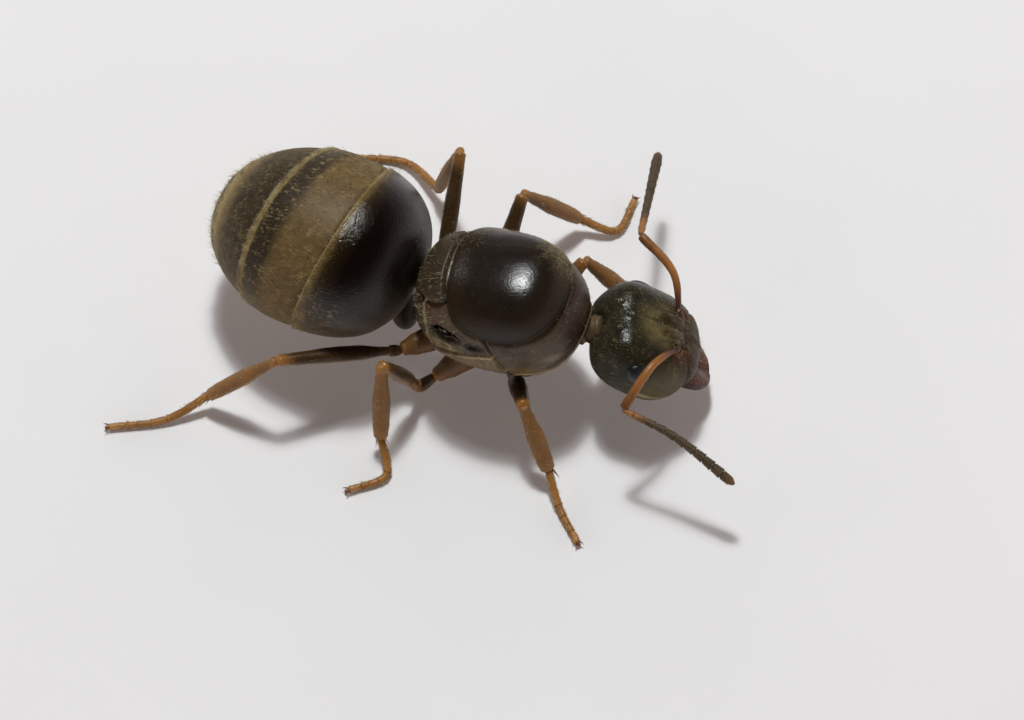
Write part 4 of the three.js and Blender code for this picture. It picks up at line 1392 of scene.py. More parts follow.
def tint_jaw(finish, mottle, tones):
    """Red-brown, darker towards the teeth."""
    tone = tuple(tones.jaw)
    stops = [(0.0, tone), (0.8, tone), (0.96, colour("3a120a")), (1.0, colour("1c0805"))]
    return banded(finish, mottle, stops, 0.4)


def tint_eye(finish, mottle, tones):
    """Nearly black, with some of the lenses bluer as a painted bluish reflection."""
    nodes = finish.nodes
    cells = nodes.add("TexVoronoi", {"Vector": finish.place, "Scale": 52.0}).outputs["Color"]
    shade = nodes.add("SeparateColor", {0: cells}).outputs[0]
    # painted reflection: some lenses tinted bluer, standing for a bluish sheen of light on the eye
    return nodes.over(tones.eye, colour("262c38"), shade, 0.4)


def low_down(finish):
    """1 on the lower sides, 0 on the back."""
    return finish.nodes.rise(own_place(finish)[2], 2.15, 2.6, 1.0, 0.0)


def scutum_bloom(finish):
    """The scutum's flat hairs are thickest at its left front."""
    nodes = finish.nodes
    place = nodes.add("VectorMath", {0: finish.place, 1: tuple(SHIFT)}, operation="SUBTRACT").outputs[0]
    return nodes.times(nodes.patch(place, (0.85, 0.62, 2.45), (0.5, 0.42, 0.5), 0.5), 0.75)


def first_bloom(finish):
    """The first gaster plate's flat hairs: near its hind margin and on its lower sides."""
    nodes = finish.nodes
    behind = nodes.rise(finish.along, 0.78, 0.97, 0.0, 0.4)
    below = nodes.times(low_down(finish), nodes.rise(finish.along, 0.3, 0.7, 0.1, 0.6))
    return nodes.maths("MAXIMUM", behind, below)


def face_bloom(finish):
    """The head's flat hairs are thickest on the face."""
    return finish.nodes.rise(finish.nodes.split(head_place(finish))[0], 0.2, 0.5, 0.35, 0.75)


def face_matt(finish):
    """1 on the clypeus and the cheeks, 0 on top of the head."""
    nodes = finish.nodes
    spot = nodes.split(head_place(finish))
    return nodes.maths("MAXIMUM", nodes.rise(spot[0], 0.3, 0.5), nodes.rise(spot[2], 0.3, 0.1))


def limb_finish(name, tones, ends, soft=0.06, dull=(0.25, 0.42), strength=0.5, rings=None, under=None):
    """Limb shell: three tones along it, which change at the ends given. rings part its joints if it
    has any, and under paints its downward-facing side paler: partly pale hairs, partly painted floor light."""

    def tint(finish, mottle, _):
        nodes = finish.nodes
        labels = ("Root", "Middle", "Tip", "Root end", "Tip start", "Soft")
        inputs = dict(zip(labels, (*tones, *ends, soft)))
        tone = nodes.group(shared("limb"), Share=finish.along, Ragged=mottle, **inputs)["Colour"]
        if rings:
            start, length = rings
            turn = nodes.maths("DIVIDE", nodes.maths("SUBTRACT", finish.along, start), length)
            near = nodes.maths("ABSOLUTE", nodes.maths("SUBTRACT", nodes.maths("FRACT", turn), 0.5))
            tone = nodes.over(tone, colour("8a6a4a"), nodes.rise(near, 0.4, 0.5, 0.0, 0.6))
        # painted light: the downward-facing side is made paler, partly for pale hairs and partly standing
        # for light from the bright floor
        if under:
            upward = nodes.split(nodes.add("NewGeometry").outputs["Normal"])[2]
            tone = nodes.over(tone, under, nodes.rise(upward, 0.3, -0.35, 0.0, 0.8))
        return marbled(finish, mottle, tone, 0.4)

    return shell(name, tint, cells=60.0, pits=14.0, depth=0.0025, strength=strength, dull=dull, shine=0.36)


def hair_finish(name, tone, deep):
    """Hairs: paler and darker ones in clouds."""
    finish = Finish(name, "OFBake")
    nodes = finish.nodes
    clouds = nodes.noise(finish.place, 9.0, 3.0)
    finish.link(nodes.blend(nodes.rise(clouds, 0.3, 0.7), deep, tone), "Base Color")
    finish.set(Roughness=0.45, Specular_IOR_Level=0.35)
    return finish.material


# ---------- what a user may change ----------
def tone_property(name, code, description):
    return bpy.props.FloatVectorProperty(
        name=name, description=description, subtype="COLOR", size=4, min=0, max=1, default=colour(code)
    )


def number_property(name, default, description, **more):
    return bpy.props.FloatProperty(name=name, description=description, default=default, **more)


def size_property(name, size, description, low=0.0, high=10000.0):
    """A length, with its default and limits given in mm."""
    return number_property(name, size * MM, description, unit="LENGTH", min=low * MM, max=high * MM)


def share_property(name, share, description, low=0.0):
    return number_property(name, share, description, subtype="FACTOR", min=low, max=1.0)


class QueenAntShell(bpy.types.PropertyGroup):
    """Colours of the body's plates."""

    scutum: tone_property("Scutum", "221b15", "The polished dome of the back")
    # towards the scutum's edge this olive is partly painted sheen of light on the flat hairs
    rim: tone_property("Dome rim", "2c2114", "The olive tone towards the edge of the domes")
    # on the flank's wing ridge this pale line is a painted highlight, and along lower margins a painted
    # reflection of the floor
    edge: tone_property("Plate edge", "b3a27c", "The pale line along plate edges")
    scutellum: tone_property("Scutellum", "352a1b", "The small dome behind the scutum")
    flank: tone_property("Flank", "4a3b28", "The collar and the back slope")
    # partly painted light: paler than the plates' own olive, standing for light from the floor on their
    # lower sides
    flank_low: tone_property("Lower flank", "6b5938", "The side plates near the legs")
    # painted shade: a dark tone laid into the wing sockets, creases and other hollows where shade falls
    hollow: tone_property("Hollows", "1a120b", "The wing sockets and other hollows")
    first: tone_property("First gaster plate", "100a07", "The black front of the gaster")
    # partly painted sheen: this olive brown is paler than the plates' own tone, standing for light caught
    # in their flat hairs
    gaster: tone_property("Gaster", "66512e", "The olive brown of the gaster plates")
    band: tone_property("Gaster band", "2a2011", "The dark band ahead of each pale margin")
    margin: tone_property("Gaster margin", "8c7840", "The golden hind margin of each plate")
    belly: tone_property("Belly", "5a4628", "The plates under the gaster")
    head: tone_property("Head", "29261a", "The top of the head")
    forehead: tone_property("Forehead", "5f5431", "The yellow-olive forehead")
    cheek: tone_property("Cheeks", "554a2c", "The sides of the head")
    socket: tone_property("Antenna sockets", "4a2413", "Round the antenna sockets")
    face: tone_property("Face", "3b2c1c", "The clypeus and the lobes over the sockets")
    jaw: tone_property("Jaws", "5d2a1a", "The jaws")
    eye: tone_property("Eyes", "10131a", "The compound eyes")


class QueenAntLimbs(bpy.types.PropertyGroup):
    """Thickness and colours of the limbs."""

    leg_girth: number_property(
        "Leg girth", 1.0, "Thickness of the legs against their usual one", min=0.7, max=1.3
    )
    antenna_girth: number_property(
        "Antenna girth", 1.0, "Thickness of the antennae against their usual one", min=0.7, max=1.3
    )
    femur: tone_property("Femur", "3f2b15", "The middle of the femora")
    knee: tone_property("Knee", "9c6a30", "The pale ends of the femora")
    tibia: tone_property("Tibia", "875a20", "The middle of the tibiae")
    tarsus: tone_property("Foot", "a9722f", "The tarsi")
    scape: tone_property("Scape", "a1672f", "The first segment of the antennae")
    whip: tone_property("Whip", "4b3b2a", "The dark rings of the antennae")


class QueenAntCoat(bpy.types.PropertyGroup):
    """Hairs."""

    down_length: size_property("Down length", 0.033, "Length of the short flat hairs", 0.02, 0.15)
    down_width: size_property("Down width", 0.0034, "Thickness of the flat hairs at the root", 0.002, 0.02)
    bristle_length: size_property("Bristle length", 0.1, "Length of the standing hairs", 0.03, 0.3)
    amount: share_property("Amount", 1.0, "Share of the hairs that are grown", 0.05)
    # partly painted light: the pale hairs' tone is brighter than their own, standing for light shining
    # through them
    pale: tone_property("Pale hairs", "cfc19a", "Sunlit hairs")
    deep: tone_property("Deep hairs", "8a7a55", "Hairs in the darker patches")


class QueenAntStage(bpy.types.PropertyGroup):
    """Light, floor and camera."""

    azimuth: number_property(
        "Camera azimuth", math.radians(17), "Where the camera stands round the ant", unit="ROTATION"
    )
    elevation: number_property(
        "Camera elevation", math.radians(60), "How high the camera stands", unit="ROTATION"
    )
    distance: size_property("Camera distance", 420, "From the floor under the ant to the camera")
    across: size_property("View width", 15.875, "What the camera sees from side to side at the floor")
    key: number_property("Key light", 0.195, "Power of the soft light over the ant", unit="POWER", min=0)
    key_size: size_property("Key size", 38, "Width of the soft light", 1)
    core: share_property("Core", 0.4, "Share of the soft light that comes from its middle")
    core_size: size_property("Core size", 12, "Width of the light's bright middle", 1)
    room: number_property("Room light", 2.0, "Strength of the light from low down all round", min=0)
    ceiling: share_property("Ceiling", 0.05, "Light from overhead as a share of that from low down")
    mirrored: share_property("Mirrored room", 0.2, "How much of the room light is seen in polished plates")
    room_tone: tone_property("Room tone", "fff0ec", "The colour of the room light")
    floor: tone_property("Floor", "e8e8e8", "The floor")


class QueenAntSettings(bpy.types.PropertyGroup):
    """Everything about the ant that a user may change."""

    shell: bpy.props.PointerProperty(type=QueenAntShell)
    limbs: bpy.props.PointerProperty(type=QueenAntLimbs)
    coat: bpy.props.PointerProperty(type=QueenAntCoat)
    stage: bpy.props.PointerProperty(type=QueenAntStage)


# ---------- operators ----------
class Builder:
    """What every operator of the ant shares."""

    bl_options = {"REGISTER", "UNDO"}

    def execute(self, context):
        self.build(context.scene.queen_ant)
        return {"FINISHED"}


class ANT_OT_thorax(Builder, bpy.types.Operator):
    """Makes the thorax: domed back plates, side plates, neck and worn wing roots"""

    bl_idname = "queen_ant.thorax"
    bl_label = "Thorax"

    def build(self, settings):
        tones = settings.shell
        scutum, scutellum = dome_skins()
        finish = shell(
            "scutum_shell", tint_scutum, tones, cells=30.0, pits=7.0, depth=0.003, strength=0.8, shine=0.3,
            dull=(0.12, 0.24), down=(36.0, 0.55, colour("8c7d55"), scutum_bloom), matt=low_down,
        )
        add_skins("scutum_plate", [scutum], finish, ["mesoscutum"])
        finish = shell(
            "scutellum_shell", tint_scutellum, tones, cells=60.0, depth=0.003, shine=0.3,
            dull=(0.34, 0.5), down=(60.0, 0.4, colour("857550"), 0.5),
        )
        add_skins("scutellum_plate", [scutellum], finish, ["scutellum"])
        plates = (
            ("collar_plate", "pronotum", tint_collar), ("flank_plate", "mesopleura", tint_flank),
            ("back_slope_plate", "propodeum", tint_slope),
        )
        for skin, (name, node, tint) in zip(trunk_skins(), plates):
            finish = shell(
                f"{name}_shell", tint, tones, cells=55.0, depth=0.003, strength=0.55, shine=0.38,
                dull=(0.27, 0.42), down=(64.0, 0.45, colour("a0906a"), 0.4),
            )
            add_skins(name, [skin], finish, [node])
        finish = shell("neck_skin", plain(colour("6b5232")), dull=(0.45, 0.6))
        add_skins("neck_folds", [neck_skin()], finish, ["neck"])
        tint = plain(colour("2c2218"), 0.6)
        finish = shell("wing_stub_shell", tint, cells=90.0, strength=0.9, dull=(0.1, 0.24), shine=0.6)
        add_skins("wing_roots", wing_root_skins(), finish)


class ANT_OT_waist(Builder, bpy.types.Operator):
    """Makes the waist: an upright scale on a short stalk"""

    bl_idname = "queen_ant.waist"
    bl_label = "Waist"

    def build(self, settings):
        tint = plain(tuple(settings.shell.rim), 0.4)
        finish = shell("waist_shell", tint, dull=(0.3, 0.45), down=(44.0, 0.4, colour("7a6a44"), 0.5))
        add_skins("waist_scale", waist_skins(), finish, ["petiole"])


class ANT_OT_gaster(Builder, bpy.types.Operator):
    """Makes the gaster: five plates with golden hind margins"""

    bl_idname = "queen_ant.gaster"
    bl_label = "Gaster"

    def build(self, settings):
        polished = dict(cells=32.0, depth=0.006, dull=(0.05, 0.13), shine=0.42, matt=low_down)
        satin = dict(cells=44.0, dull=(0.36, 0.5), shine=0.2, sheen=0.3, pitted=0.8)
        looks = ((polished, first_bloom), (satin, 0.6), (satin, 0.4), (satin, 0.4), (satin, 0.4))
        for number, (skin, bands, (look, bloom)) in enumerate(zip(gaster_skins(), GASTER_BANDS, looks), 1):
            # the down's pale tone is partly painted sheen of light on the flat hairs
            down = (32.0, 0.55, colour("9a8758"), bloom)
            tint = tint_gaster(bands)
            finish = shell(f"gaster_shell_{number}", tint, settings.shell, strength=1.0, down=down, **look)
            node = f"gaster_tergite_{number}"
            add_skins(f"gaster_plate_{number}", [skin], finish, [node])


class ANT_OT_head(Builder, bpy.types.Operator):
    """Makes the head with its clypeus, ridges, sockets and lower mouthparts"""

    bl_idname = "queen_ant.head"
    bl_label = "Head"

    def build(self, settings):
        finish = shell(
            "head_shell", tint_head, settings.shell, cells=34.0, depth=0.0045, strength=1.0, shine=0.26,
            dull=(0.12, 0.27), down=(36.0, 0.5, colour("857a50"), face_bloom), matt=face_matt,
        )
        add_skins("head_capsule", [head_skin()], finish, ["head"])
        finish = shell("lip_shell", plain(colour("7a4a22")), dull=(0.3, 0.45))
        add_skins("lower_mouth", mouth_skins(), finish)


class ANT_OT_eyes(Builder, bpy.types.Operator):
    """Makes the compound eyes, lens by lens, and the three simple eyes"""

    bl_idname = "queen_ant.eyes"
    bl_label = "Eyes"

    def build(self, settings):
        look = dict(cells=150.0, pits=2.0, depth=0.0006, dull=(0.24, 0.34), gloss=0.15)
        finish = shell("eye_lenses", tint_eye, settings.shell, **look)
        for side, word in SIDES.items():
            add_skins(f"faceted_eye_{word}", [eye_skin(side)], finish, [f"eye_{word}"])
        look = dict(cells=120.0, pits=2.0, depth=0.0004, dull=(0.08, 0.16), gloss=0.4)
        finish = shell("simple_eye_lens", plain(colour("4a3f28")), **look)
        for word, place in OCELLI.items():
            axis = (-0.1 if word == "front" else -0.3, place[1] * 0.6, 1.0)
            lens = button(place, axis, 0.085, 0.085, 0.07, rings=24, spokes=40).posed(HEAD)
            add_skins(f"simple_eye_{word}", [lens], finish, [f"ocellus_{word}"])


class ANT_OT_jaws(Builder, bpy.types.Operator):
    """Makes the two toothed jaws"""

    bl_idname = "queen_ant.jaws"
    bl_label = "Jaws"

    def build(self, settings):
        tint, look = tint_jaw, dict(cells=44.0, pits=12.0, depth=0.006, strength=1.0)
        finish = shell("jaw_shell", tint, settings.shell, dull=(0.26, 0.4), shine=0.22, **look)
        for side, word in SIDES.items():
            add_skins(f"toothed_jaw_{word}", [jaw_skin(side)], finish, [f"mandible_{word}"])


class ANT_OT_antennae(Builder, bpy.types.Operator):
    """Makes the elbowed antennae"""

    bl_idname = "queen_ant.antennae"
    bl_label = "Antennae"

    def build(self, settings):
        limbs = settings.limbs
        tones = (colour("46281a"), tuple(limbs.scape), colour("6e4420"))
        # under: the scape's lower side painted paler, partly a painted highlight
        arm = limb_finish("scape_shell", tones, (0.3, 0.86), 0.2, under=colour("c39550"))
        tones = (colour("a06a34"), tuple(limbs.whip), colour("7a5638"))
        lash = limb_finish("whip_shell", tones, (0.16, 0.96), 0.12, (0.42, 0.6), 0.8, WHIP_RINGS)
        for side, word in SIDES.items():
            first, rest = antenna_skins(side, limbs.antenna_girth)
            add_skins(f"antenna_arm_{word}", [first], arm, [f"scape_{word}"])
            add_skins(f"antenna_whip_{word}", [rest], lash, [f"funiculus_{word}"])


class ANT_OT_legs(Builder, bpy.types.Operator):
    """Makes the six legs, with their spurs, feet and claws"""

    bl_idname = "queen_ant.legs"
    bl_label = "Legs"

    def build(self, settings):
        limbs = settings.limbs
        knee, foot = tuple(limbs.knee), tuple(limbs.tarsus)
        tones = (colour("4f3a1e"), colour("6b4a22"), knee)
        coxa = limb_finish("coxa_shell", tones, (0.3, 0.9), 0.12, (0.34, 0.5))
        tones = (colour("6e4a22"), tuple(limbs.femur), knee)
        # under: the lower sides of femur and tibia painted paler, pale hairs and painted floor light
        femur = limb_finish("femur_shell", tones, (0.1, 0.9), 0.1, (0.2, 0.34), under=colour("93703f"))
        tones = (knee, tuple(limbs.tibia), colour("9a6d34"))
        tibia = limb_finish("tibia_shell", tones, (0.05, 0.9), 0.12, (0.38, 0.54), under=colour("a07a45"))
        tones = (foot, foot, colour("c08b45"))
        tarsus = limb_finish("foot_shell", tones, (0.1, 0.9), 0.1, (0.34, 0.5))
        tones = (colour("9a6028"), colour("74401a"), colour("4a2410"))
        horn = limb_finish("claw_horn", tones, (0.2, 0.8), dull=(0.25, 0.4))
        parts = (
            ("coxa", coxa, "coxae"), ("femur", femur, "femora"), ("tibia", tibia, "tibiae"),
            ("tarsus", tarsus, "tarsi"),
        )
        claws = []
        for side, pair in LEG_POSES:
            made = leg_skins(side, pair, limbs.leg_girth)
            word = f"{SIDES[side]}_{pair}"
            for part, finish, slot in parts:
                add_skins(f"leg_{word}_{part}", made[part], finish, [f"{word}_{part}"])
            claws += made["claws"]
        add_skins("claws", claws, horn)


# ---------- coat operators ----------
SEEDS = {"gaster": 11, "thorax": 23, "head": 37, "limbs": 51}


def coat_tools(coat, part):
    """A maker of empty coats, which take their random draws in turn from one source, and the length
    and thickness of the down and the length of the standing hairs, in mm."""
    rng = np.random.default_rng(SEEDS[part])
    sizes = (coat.down_length / MM, coat.down_width / MM, coat.bristle_length / MM)
    return (lambda tiles: Coat(rng, tiles, coat.amount)), *sizes


def made_finish(name):
    """A hair material that the gaster's coat has made."""
    return bpy.data.materials[name]


def combed(*pull):
    """A comb that pulls hairs the same way everywhere."""
    return lambda points: pull


def off_domes(points, along):
    """Hairs keep off what lies under the domes of the back, and crowd behind and under the wing root."""
    dome = np.minimum(ovoid_gap(SCUTUM, points), ovoid_gap(SCUTELLUM, points))
    below_wing = 1 - smooth(oval(points, -0.58, 1.6, 0.3, 0.18), 0.6, 1.2)
    crowd = 0.25 + 1.5 * below_wing + 0.9 * bell(seam_side(REAR_SEAM, points), 0.12)
    return smooth(dome, 0.01, 0.05) * crowd


def under_wing(points, along):
    """Standing hairs in a tuft under the wing root."""
    return 1 - smooth(oval(points, -0.56, 1.68, 0.26, 0.13), 0.7, 1.2)


def left_front(points, along):
    """The scutum's down is thickest at its left front."""
    away = np.linalg.norm(points - (0.85, 0.62, 2.5), axis=-1)
    return 0.003 + 1 - smooth(away, 0.2, 0.55)


def left_rim(points, along):
    """The scutum's longer hairs stand near its left rim."""
    return smooth(along, 0.6, 0.85) * smooth(points[..., 1], 0.1, 0.5)


def first_down(points, along):
    """The first gaster plate's hairs stand near its hind margin and on its lower sides."""
    low = 0.2 * (1 - smooth(points[..., 2], 1.7, 2.3)) * smooth(along, 0.3, 0.6)
    return smooth(along, 0.72, 0.95) + low


def band_down(points, along):
    """The other gaster plates' hairs are thin on the dark band."""
    return 1 - 0.75 * within(along, 0.66, 0.92, 0.04)


class ANT_OT_gaster_coat(Builder, bpy.types.Operator):
    """Grows the gaster's flat down, the fringe of each margin and its few standing hairs"""

    bl_idname = "queen_ant.gaster_coat"
    bl_label = "Gaster coat"

    def build(self, settings):
        new_coat, length, width, bristle = coat_tools(settings.coat, "gaster")
        pale = hair_finish("pale_hair", tuple(settings.coat.pale), tuple(settings.coat.deep))
        brown = hair_finish("brown_hair", colour("978357"), colour("55452a"))
        skins = gaster_skins()
        for number, (skin, count) in enumerate(zip(skins, (10500, 40000, 27000, 9000, 6000)), 1):
            down = new_coat(1)
            thin = first_down if number == 1 else band_down
            down.grow(skin, count, length, width, 6, 11, density=lambda p, u: thin(p, u) * (u < 0.97))
            down.make(f"gaster_down_{number}", brown, "gaster_plates")
        fringe = new_coat(5)
        hem = lambda p, u: within(u, 0.93, 0.999, 0.01)
        for skin, count in zip(skins[:4], (2800, 7200, 5600, 2300)):
            fringe.grow(skin, count, length * 1.5, width * 0.95, 16, 16, 10, hem)
        fringe.grow(skins[4], 700, length * 1.6, width * 1.4, 30, 22, 10, lambda p, u: smooth(u, 0.6, 1))
        fringe.make("gaster_fringe", pale, "gaster_plates")
        bristles = new_coat(5)
        for number, (skin, count) in enumerate(zip(skins, (20, 120, 420, 220, 160)), 1):
            late = None if number == 5 else lambda p, u: within(u, 0.8, 0.95, 0.05)
            bristles.grow(skin, count, bristle * 1.1, width * 1.5, 48, 20, 26, late)
        bristles.make("gaster_bristles", pale, "gaster_plates")


class ANT_OT_thorax_coat(Builder, bpy.types.Operator):
    """Grows the thorax's down and standing hairs"""

    bl_idname = "queen_ant.thorax_coat"
    bl_label = "Thorax coat"

    def build(self, settings):
        new_coat, length, width, bristle = coat_tools(settings.coat, "thorax")
        scutum, scutellum = dome_skins()
        back = combed(-3.0, 0, 0)
        down = new_coat(7)
        for skin, count in zip(trunk_skins(), (3500, 9000, 5000)):
            down.grow(skin, count, length, width, 10, 22, density=off_domes)
        down.grow(scutum, 3200, length * 0.9, width, 10, 18, comb=back, density=left_front, rows=(0, 0.97))
        down.grow(scutellum, 4200, length * 0.8, width, 9, 16, comb=back, rows=(0, 0.95))
        for skin in waist_skins():
            down.grow(skin, 900, length * 0.8, width, 14, 25)
        down.make("thorax_down", made_finish("brown_hair"), "side_plates")
        back = combed(-2.0, 0, 0)
        bristles = new_coat(7)
        bristles.grow(trunk_skins()[1], 2200, length * 1.3, width * 1.1, 16, 26, 10, under_wing)
        for skin, count in zip(trunk_skins(), (60, 110, 160)):
            high = lambda p, u: off_domes(p, u) * smooth(p[..., 2], 1.2, 1.9)
            bristles.grow(skin, count, bristle * 0.75, width * 1.7, 45, 30, 24, high)
        bristles.grow(
            scutum, 700, length * 1.15, width * 0.9, 24, 22, 8, left_rim, rows=(0, 0.97), comb=back
        )
        bristles.grow(scutellum, 120, bristle * 0.8, width * 1.7, 50, 30, 24, comb=back, rows=(0, 0.94))
        top = lambda p, u: smooth(p[..., 2], 1.2, 1.4)
        bristles.grow(waist_skins()[0], 80, bristle * 0.7, width * 1.7, 50, 30, 20, top)
        bristles.make("thorax_bristles", made_finish("pale_hair"), "side_plates")


class ANT_OT_head_coat(Builder, bpy.types.Operator):
    """Grows the head's short down and the hairs of the jaws and clypeus"""

    bl_idname = "queen_ant.head_coat"
    bl_label = "Head coat"

    def build(self, settings):
        new_coat, length, width, bristle = coat_tools(settings.coat, "head")
        skin = head_skin()
        bald = [(posed(np.array(place), HEAD), 0.1) for place in OCELLI.values()]
        bald += [(posed(sided(EYE["at"], side), HEAD), 0.26) for side in SIDES]

        def clear(points, along):
            share = np.ones(points.shape[:-1])
            for place, radius in bald:
                share = share * smooth(np.linalg.norm(points - place, axis=-1), radius, radius + 0.04)
            return share * within(along, 0.04, 0.93, 0.02)

        def crowded(points, along):
            rear = 1.2 * within(along, 0.03, 0.42, 0.03)
            return clear(points, along) * (0.35 + smooth(along, 0.55, 0.8) + rear)

        def clypeal(points, along):
            return clear(points, along) * within(along, 0.1, 0.2, 0.02)

        down = new_coat(3)
        down.grow(skin, 13000, length * 0.8, width * 0.9, 9, 20, density=crowded)
        ahead = combed(2.0, 0, -1.0)
        for side in SIDES:
            down.grow(jaw_skin(side), 600, length * 0.6, width, 16, 25, rows=(0.1, 0.5), comb=ahead)
        down.make("head_down", hair_finish("olive_hair", colour("7d7148"), colour("3f3822")), "head")
        bristles = new_coat(3)
        bristles.grow(skin, 260, bristle * 0.55, width * 1.5, 48, 30, 24, clear)
        ahead = combed(2.0, 0, -1.5)
        bristles.grow(
            skin, 90, bristle * 0.9, width * 1.6, 40, 20, -20, clypeal, share_tile=True, comb=ahead
        )
        for side in SIDES:
            bristles.grow(jaw_skin(side), 70, bristle * 0.6, width * 1.5, 30, 30, 15, rows=(0.1, 0.48))
        bristles.make("head_bristles", made_finish("pale_hair"), "head")


LEG_HAIRS = (  # part, which of its skins, then the down's and the bristles' count, length and lift
    ("coxa", -1, (350, 0.7, 12), (10, 0.6, 45)),
    ("femur", -1, (1100, 0.75, 12), (22, 0.6, 48)),
    ("tibia", 0, (2000, 0.85, 17), (70, 0.55, 38)),
    ("tarsus", 0, (1900, 0.75, 26), (240, 0.55, 40)),
)


class ANT_OT_limb_coat(Builder, bpy.types.Operator):
    """Grows the hairs of the legs, feet and antennae"""

    bl_idname = "queen_ant.limb_coat"
    bl_label = "Limb coat"

    def build(self, settings):
        limbs = settings.limbs
        new_coat, length, width, bristle = coat_tools(settings.coat, "limbs")
        down, bristles = new_coat(24), new_coat(24)
        for side, pair in LEG_POSES:
            made = leg_skins(side, pair, limbs.leg_girth)
            for part, index, (count, size, lift), _ in LEG_HAIRS:
                down.grow(made[part][index], count, length * size, width, lift, 16)
            for part, index, _, (count, size, lift) in LEG_HAIRS:
                bristles.grow(made[part][index], count, bristle * size, width * 1.8, lift, 20, 15)
        down.make("leg_down", made_finish("brown_hair"), "tibiae")
        bristles.make("leg_bristles", made_finish("pale_hair"), "tibiae")
        felt = new_coat(4)
        for side in SIDES:
            arm, whip = antenna_skins(side, limbs.antenna_girth)
            felt.grow(arm, 1500, length * 0.7, width * 0.9, 14, 18)
            felt.grow(whip, 5500, length * 0.62, width * 0.85, 23, 14)
        felt.make("antenna_felt", made_finish("brown_hair"), "funiculi")


# ---------- stage ----------
KEY_WAY = (-0.14, 0.33, 0.93)  # from the ant to the middle of the soft light
KEY_HEIGHT = 160 * MM
KEY_TONE = (0.96, 0.99, 1.0)
AIM = (0.18, 0.04, 0.0)  # the place on the floor in the middle of the view
FLOOR_HALF = 600 * MM
SEEN_ROOM = 0.85  # how bright the camera sees the room past the floor's edge
SENSOR = 36  # mm


def turned(thing, location, target):
    """Stands a light or camera at a place and points it at the target."""
    thing.location = location
    thing.rotation_mode = "QUATERNION"
    thing.rotation_quaternion = (Vector(location) - Vector(target)).to_track_quat("Z", "Y")


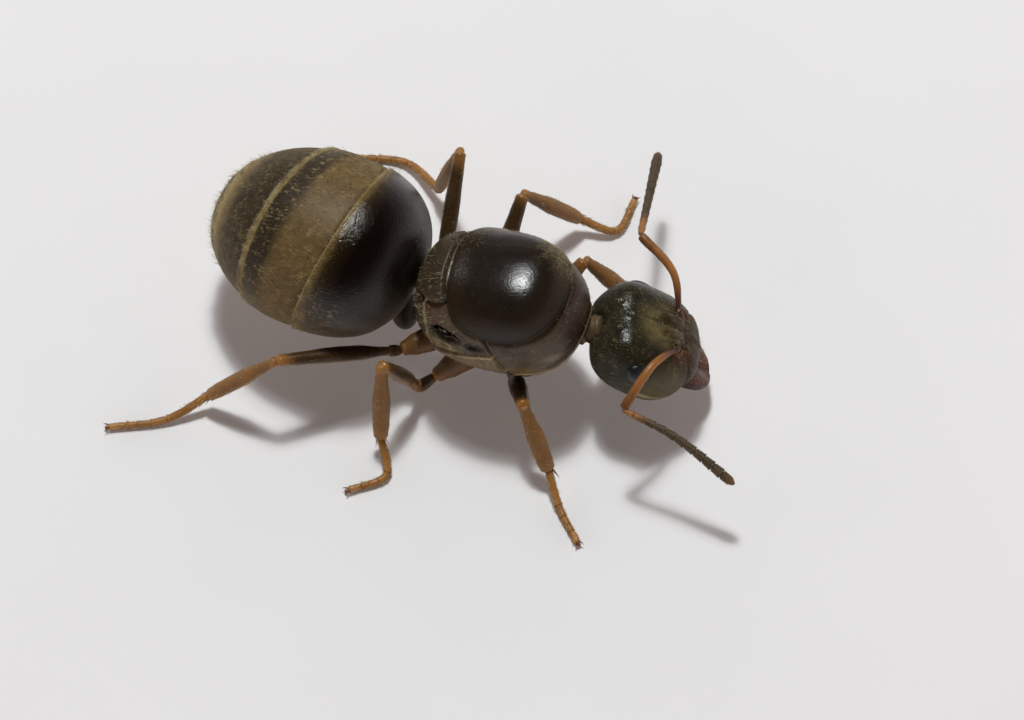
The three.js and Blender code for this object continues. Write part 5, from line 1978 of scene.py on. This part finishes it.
class ANT_OT_stage(Builder, bpy.types.Operator):
    """Sets the pale floor, the soft light and the camera"""

    bl_idname = "queen_ant.stage"
    bl_label = "Stage"

    def build(self, settings):
        stage, scene = settings.stage, bpy.context.scene
        target = (np.array(AIM) + SHIFT) * MM
        self.lay_floor(stage)
        self.hang_light(stage, target)
        scene.world = self.light_room(stage)
        scene.camera = self.set_camera(stage, target)
        scene.view_settings.view_transform = "Standard"

    def lay_floor(self, stage):
        corners = [(x * FLOOR_HALF, y * FLOOR_HALF, 0) for x, y in ((-1, -1), (1, -1), (1, 1), (-1, 1))]
        mesh = bpy.data.meshes.new("floor")
        mesh.from_pydata(corners, [], [(0, 1, 2, 3)])
        finish = Finish("floor_paint")
        clouds = finish.nodes.noise(finish.place, 0.25, 3.0)
        tone = tuple(stage.floor)
        darker = tuple(v * 0.95 for v in tone[:3]) + (1.0,)
        finish.link(finish.nodes.blend(clouds, tone, darker), "Base Color")
        finish.set(Roughness=0.6, Specular_IOR_Level=0.3)
        mesh.materials.append(finish.material)
        add_object("floor", mesh)

    def hang_light(self, stage, target):
        """One soft round light with a brighter middle."""
        lamps = (("key_light", stage.key_size, 1 - stage.core), ("key_core", stage.core_size, stage.core))
        for name, size, share in lamps:
            lamp = bpy.data.lights.new(name, "AREA")
            lamp.shape = "DISK"
            lamp.size = size
            lamp.energy = stage.key * share
            lamp.color = KEY_TONE
            light = add_object(name, lamp)
            light.visible_camera = False
            turned(light, target + unit(np.array(KEY_WAY)) * KEY_HEIGHT, target)

    def way_back(self, stage):
        """The way from the ant to the camera."""
        flat = math.cos(stage.elevation)
        return (math.sin(stage.azimuth) * flat, -math.cos(stage.azimuth) * flat, math.sin(stage.elevation))

    def light_room(self, stage):
        """Bright low walls, a dim ceiling and a dark patch where the viewer stands."""
        world = bpy.data.worlds.new("room")
        world.use_nodes = True
        nodes = Nodes(world.node_tree)
        sky = world.node_tree.nodes["Background"]
        path = nodes.add("LightPath").outputs
        seen = path["Is Camera Ray"]
        way = nodes.add("TexCoord").outputs["Generated"]
        walls = nodes.rise(nodes.split(way)[2], 0.2, 0.55, stage.room, stage.room * stage.ceiling)
        viewer = self.way_back(stage)
        toward = nodes.add("VectorMath", {0: way, 1: viewer}, operation="DOT_PRODUCT").outputs["Value"]
        walls = nodes.times(walls, nodes.rise(toward, 0.55, 0.85, 1.0, 0.12))
        walls = nodes.times(walls, nodes.rise(path["Is Glossy Ray"], 0.0, 1.0, 1.0, stage.mirrored))
        tone = nodes.blend(seen, tuple(stage.room_tone), (1.0, 1.0, 1.0, 1.0))
        strength = nodes.add("Mix", {0: seen, 2: walls, 3: SEEN_ROOM}).outputs[0]
        world.node_tree.links.new(tone, sky.inputs["Color"])
        world.node_tree.links.new(strength, sky.inputs["Strength"])
        return world

    def set_camera(self, stage, target):
        lens = bpy.data.cameras.new("camera")
        lens.sensor_width = SENSOR
        lens.lens = SENSOR * stage.distance / stage.across
        lens.clip_start, lens.clip_end = 5 * MM, 5.0
        camera = add_object("camera", lens)
        turned(camera, target + np.array(self.way_back(stage)) * stage.distance, target)
        return camera


# ---------- panel and registration ----------
STEPS = (
    ANT_OT_thorax, ANT_OT_waist, ANT_OT_gaster, ANT_OT_head, ANT_OT_eyes, ANT_OT_jaws, ANT_OT_antennae,
    ANT_OT_legs, ANT_OT_gaster_coat, ANT_OT_thorax_coat, ANT_OT_head_coat, ANT_OT_limb_coat, ANT_OT_stage,
)


class ANT_PT_panel(bpy.types.Panel):
    """Lists the ant's settings and the pieces in the order they are made"""

    bl_label = "Queen Ant"
    bl_idname = "ANT_PT_panel"
    bl_space_type = "VIEW_3D"
    bl_region_type = "UI"
    bl_category = "Queen Ant"

    def draw(self, context):
        settings = context.scene.queen_ant
        for group in (settings.shell, settings.limbs, settings.coat, settings.stage):
            box = self.layout.box()
            for key in group.__annotations__:
                box.prop(group, key)
        for step_class in STEPS:
            self.layout.operator(step_class.bl_idname)


GROUPS = (QueenAntShell, QueenAntLimbs, QueenAntCoat, QueenAntStage, QueenAntSettings)
CLASSES = (*GROUPS, *STEPS, ANT_PT_panel)


def register():
    for each in CLASSES:
        bpy.utils.register_class(each)
    bpy.types.Scene.queen_ant = bpy.props.PointerProperty(type=QueenAntSettings)


def unregister():
    del bpy.types.Scene.queen_ant
    for each in reversed(CLASSES):
        bpy.utils.unregister_class(each)


def main():
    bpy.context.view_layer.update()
    register()
    for step_class in STEPS:
        family, name = step_class.bl_idname.split(".")
        getattr(getattr(bpy.ops, family), name)()


if __name__ == "__main__":
    main()
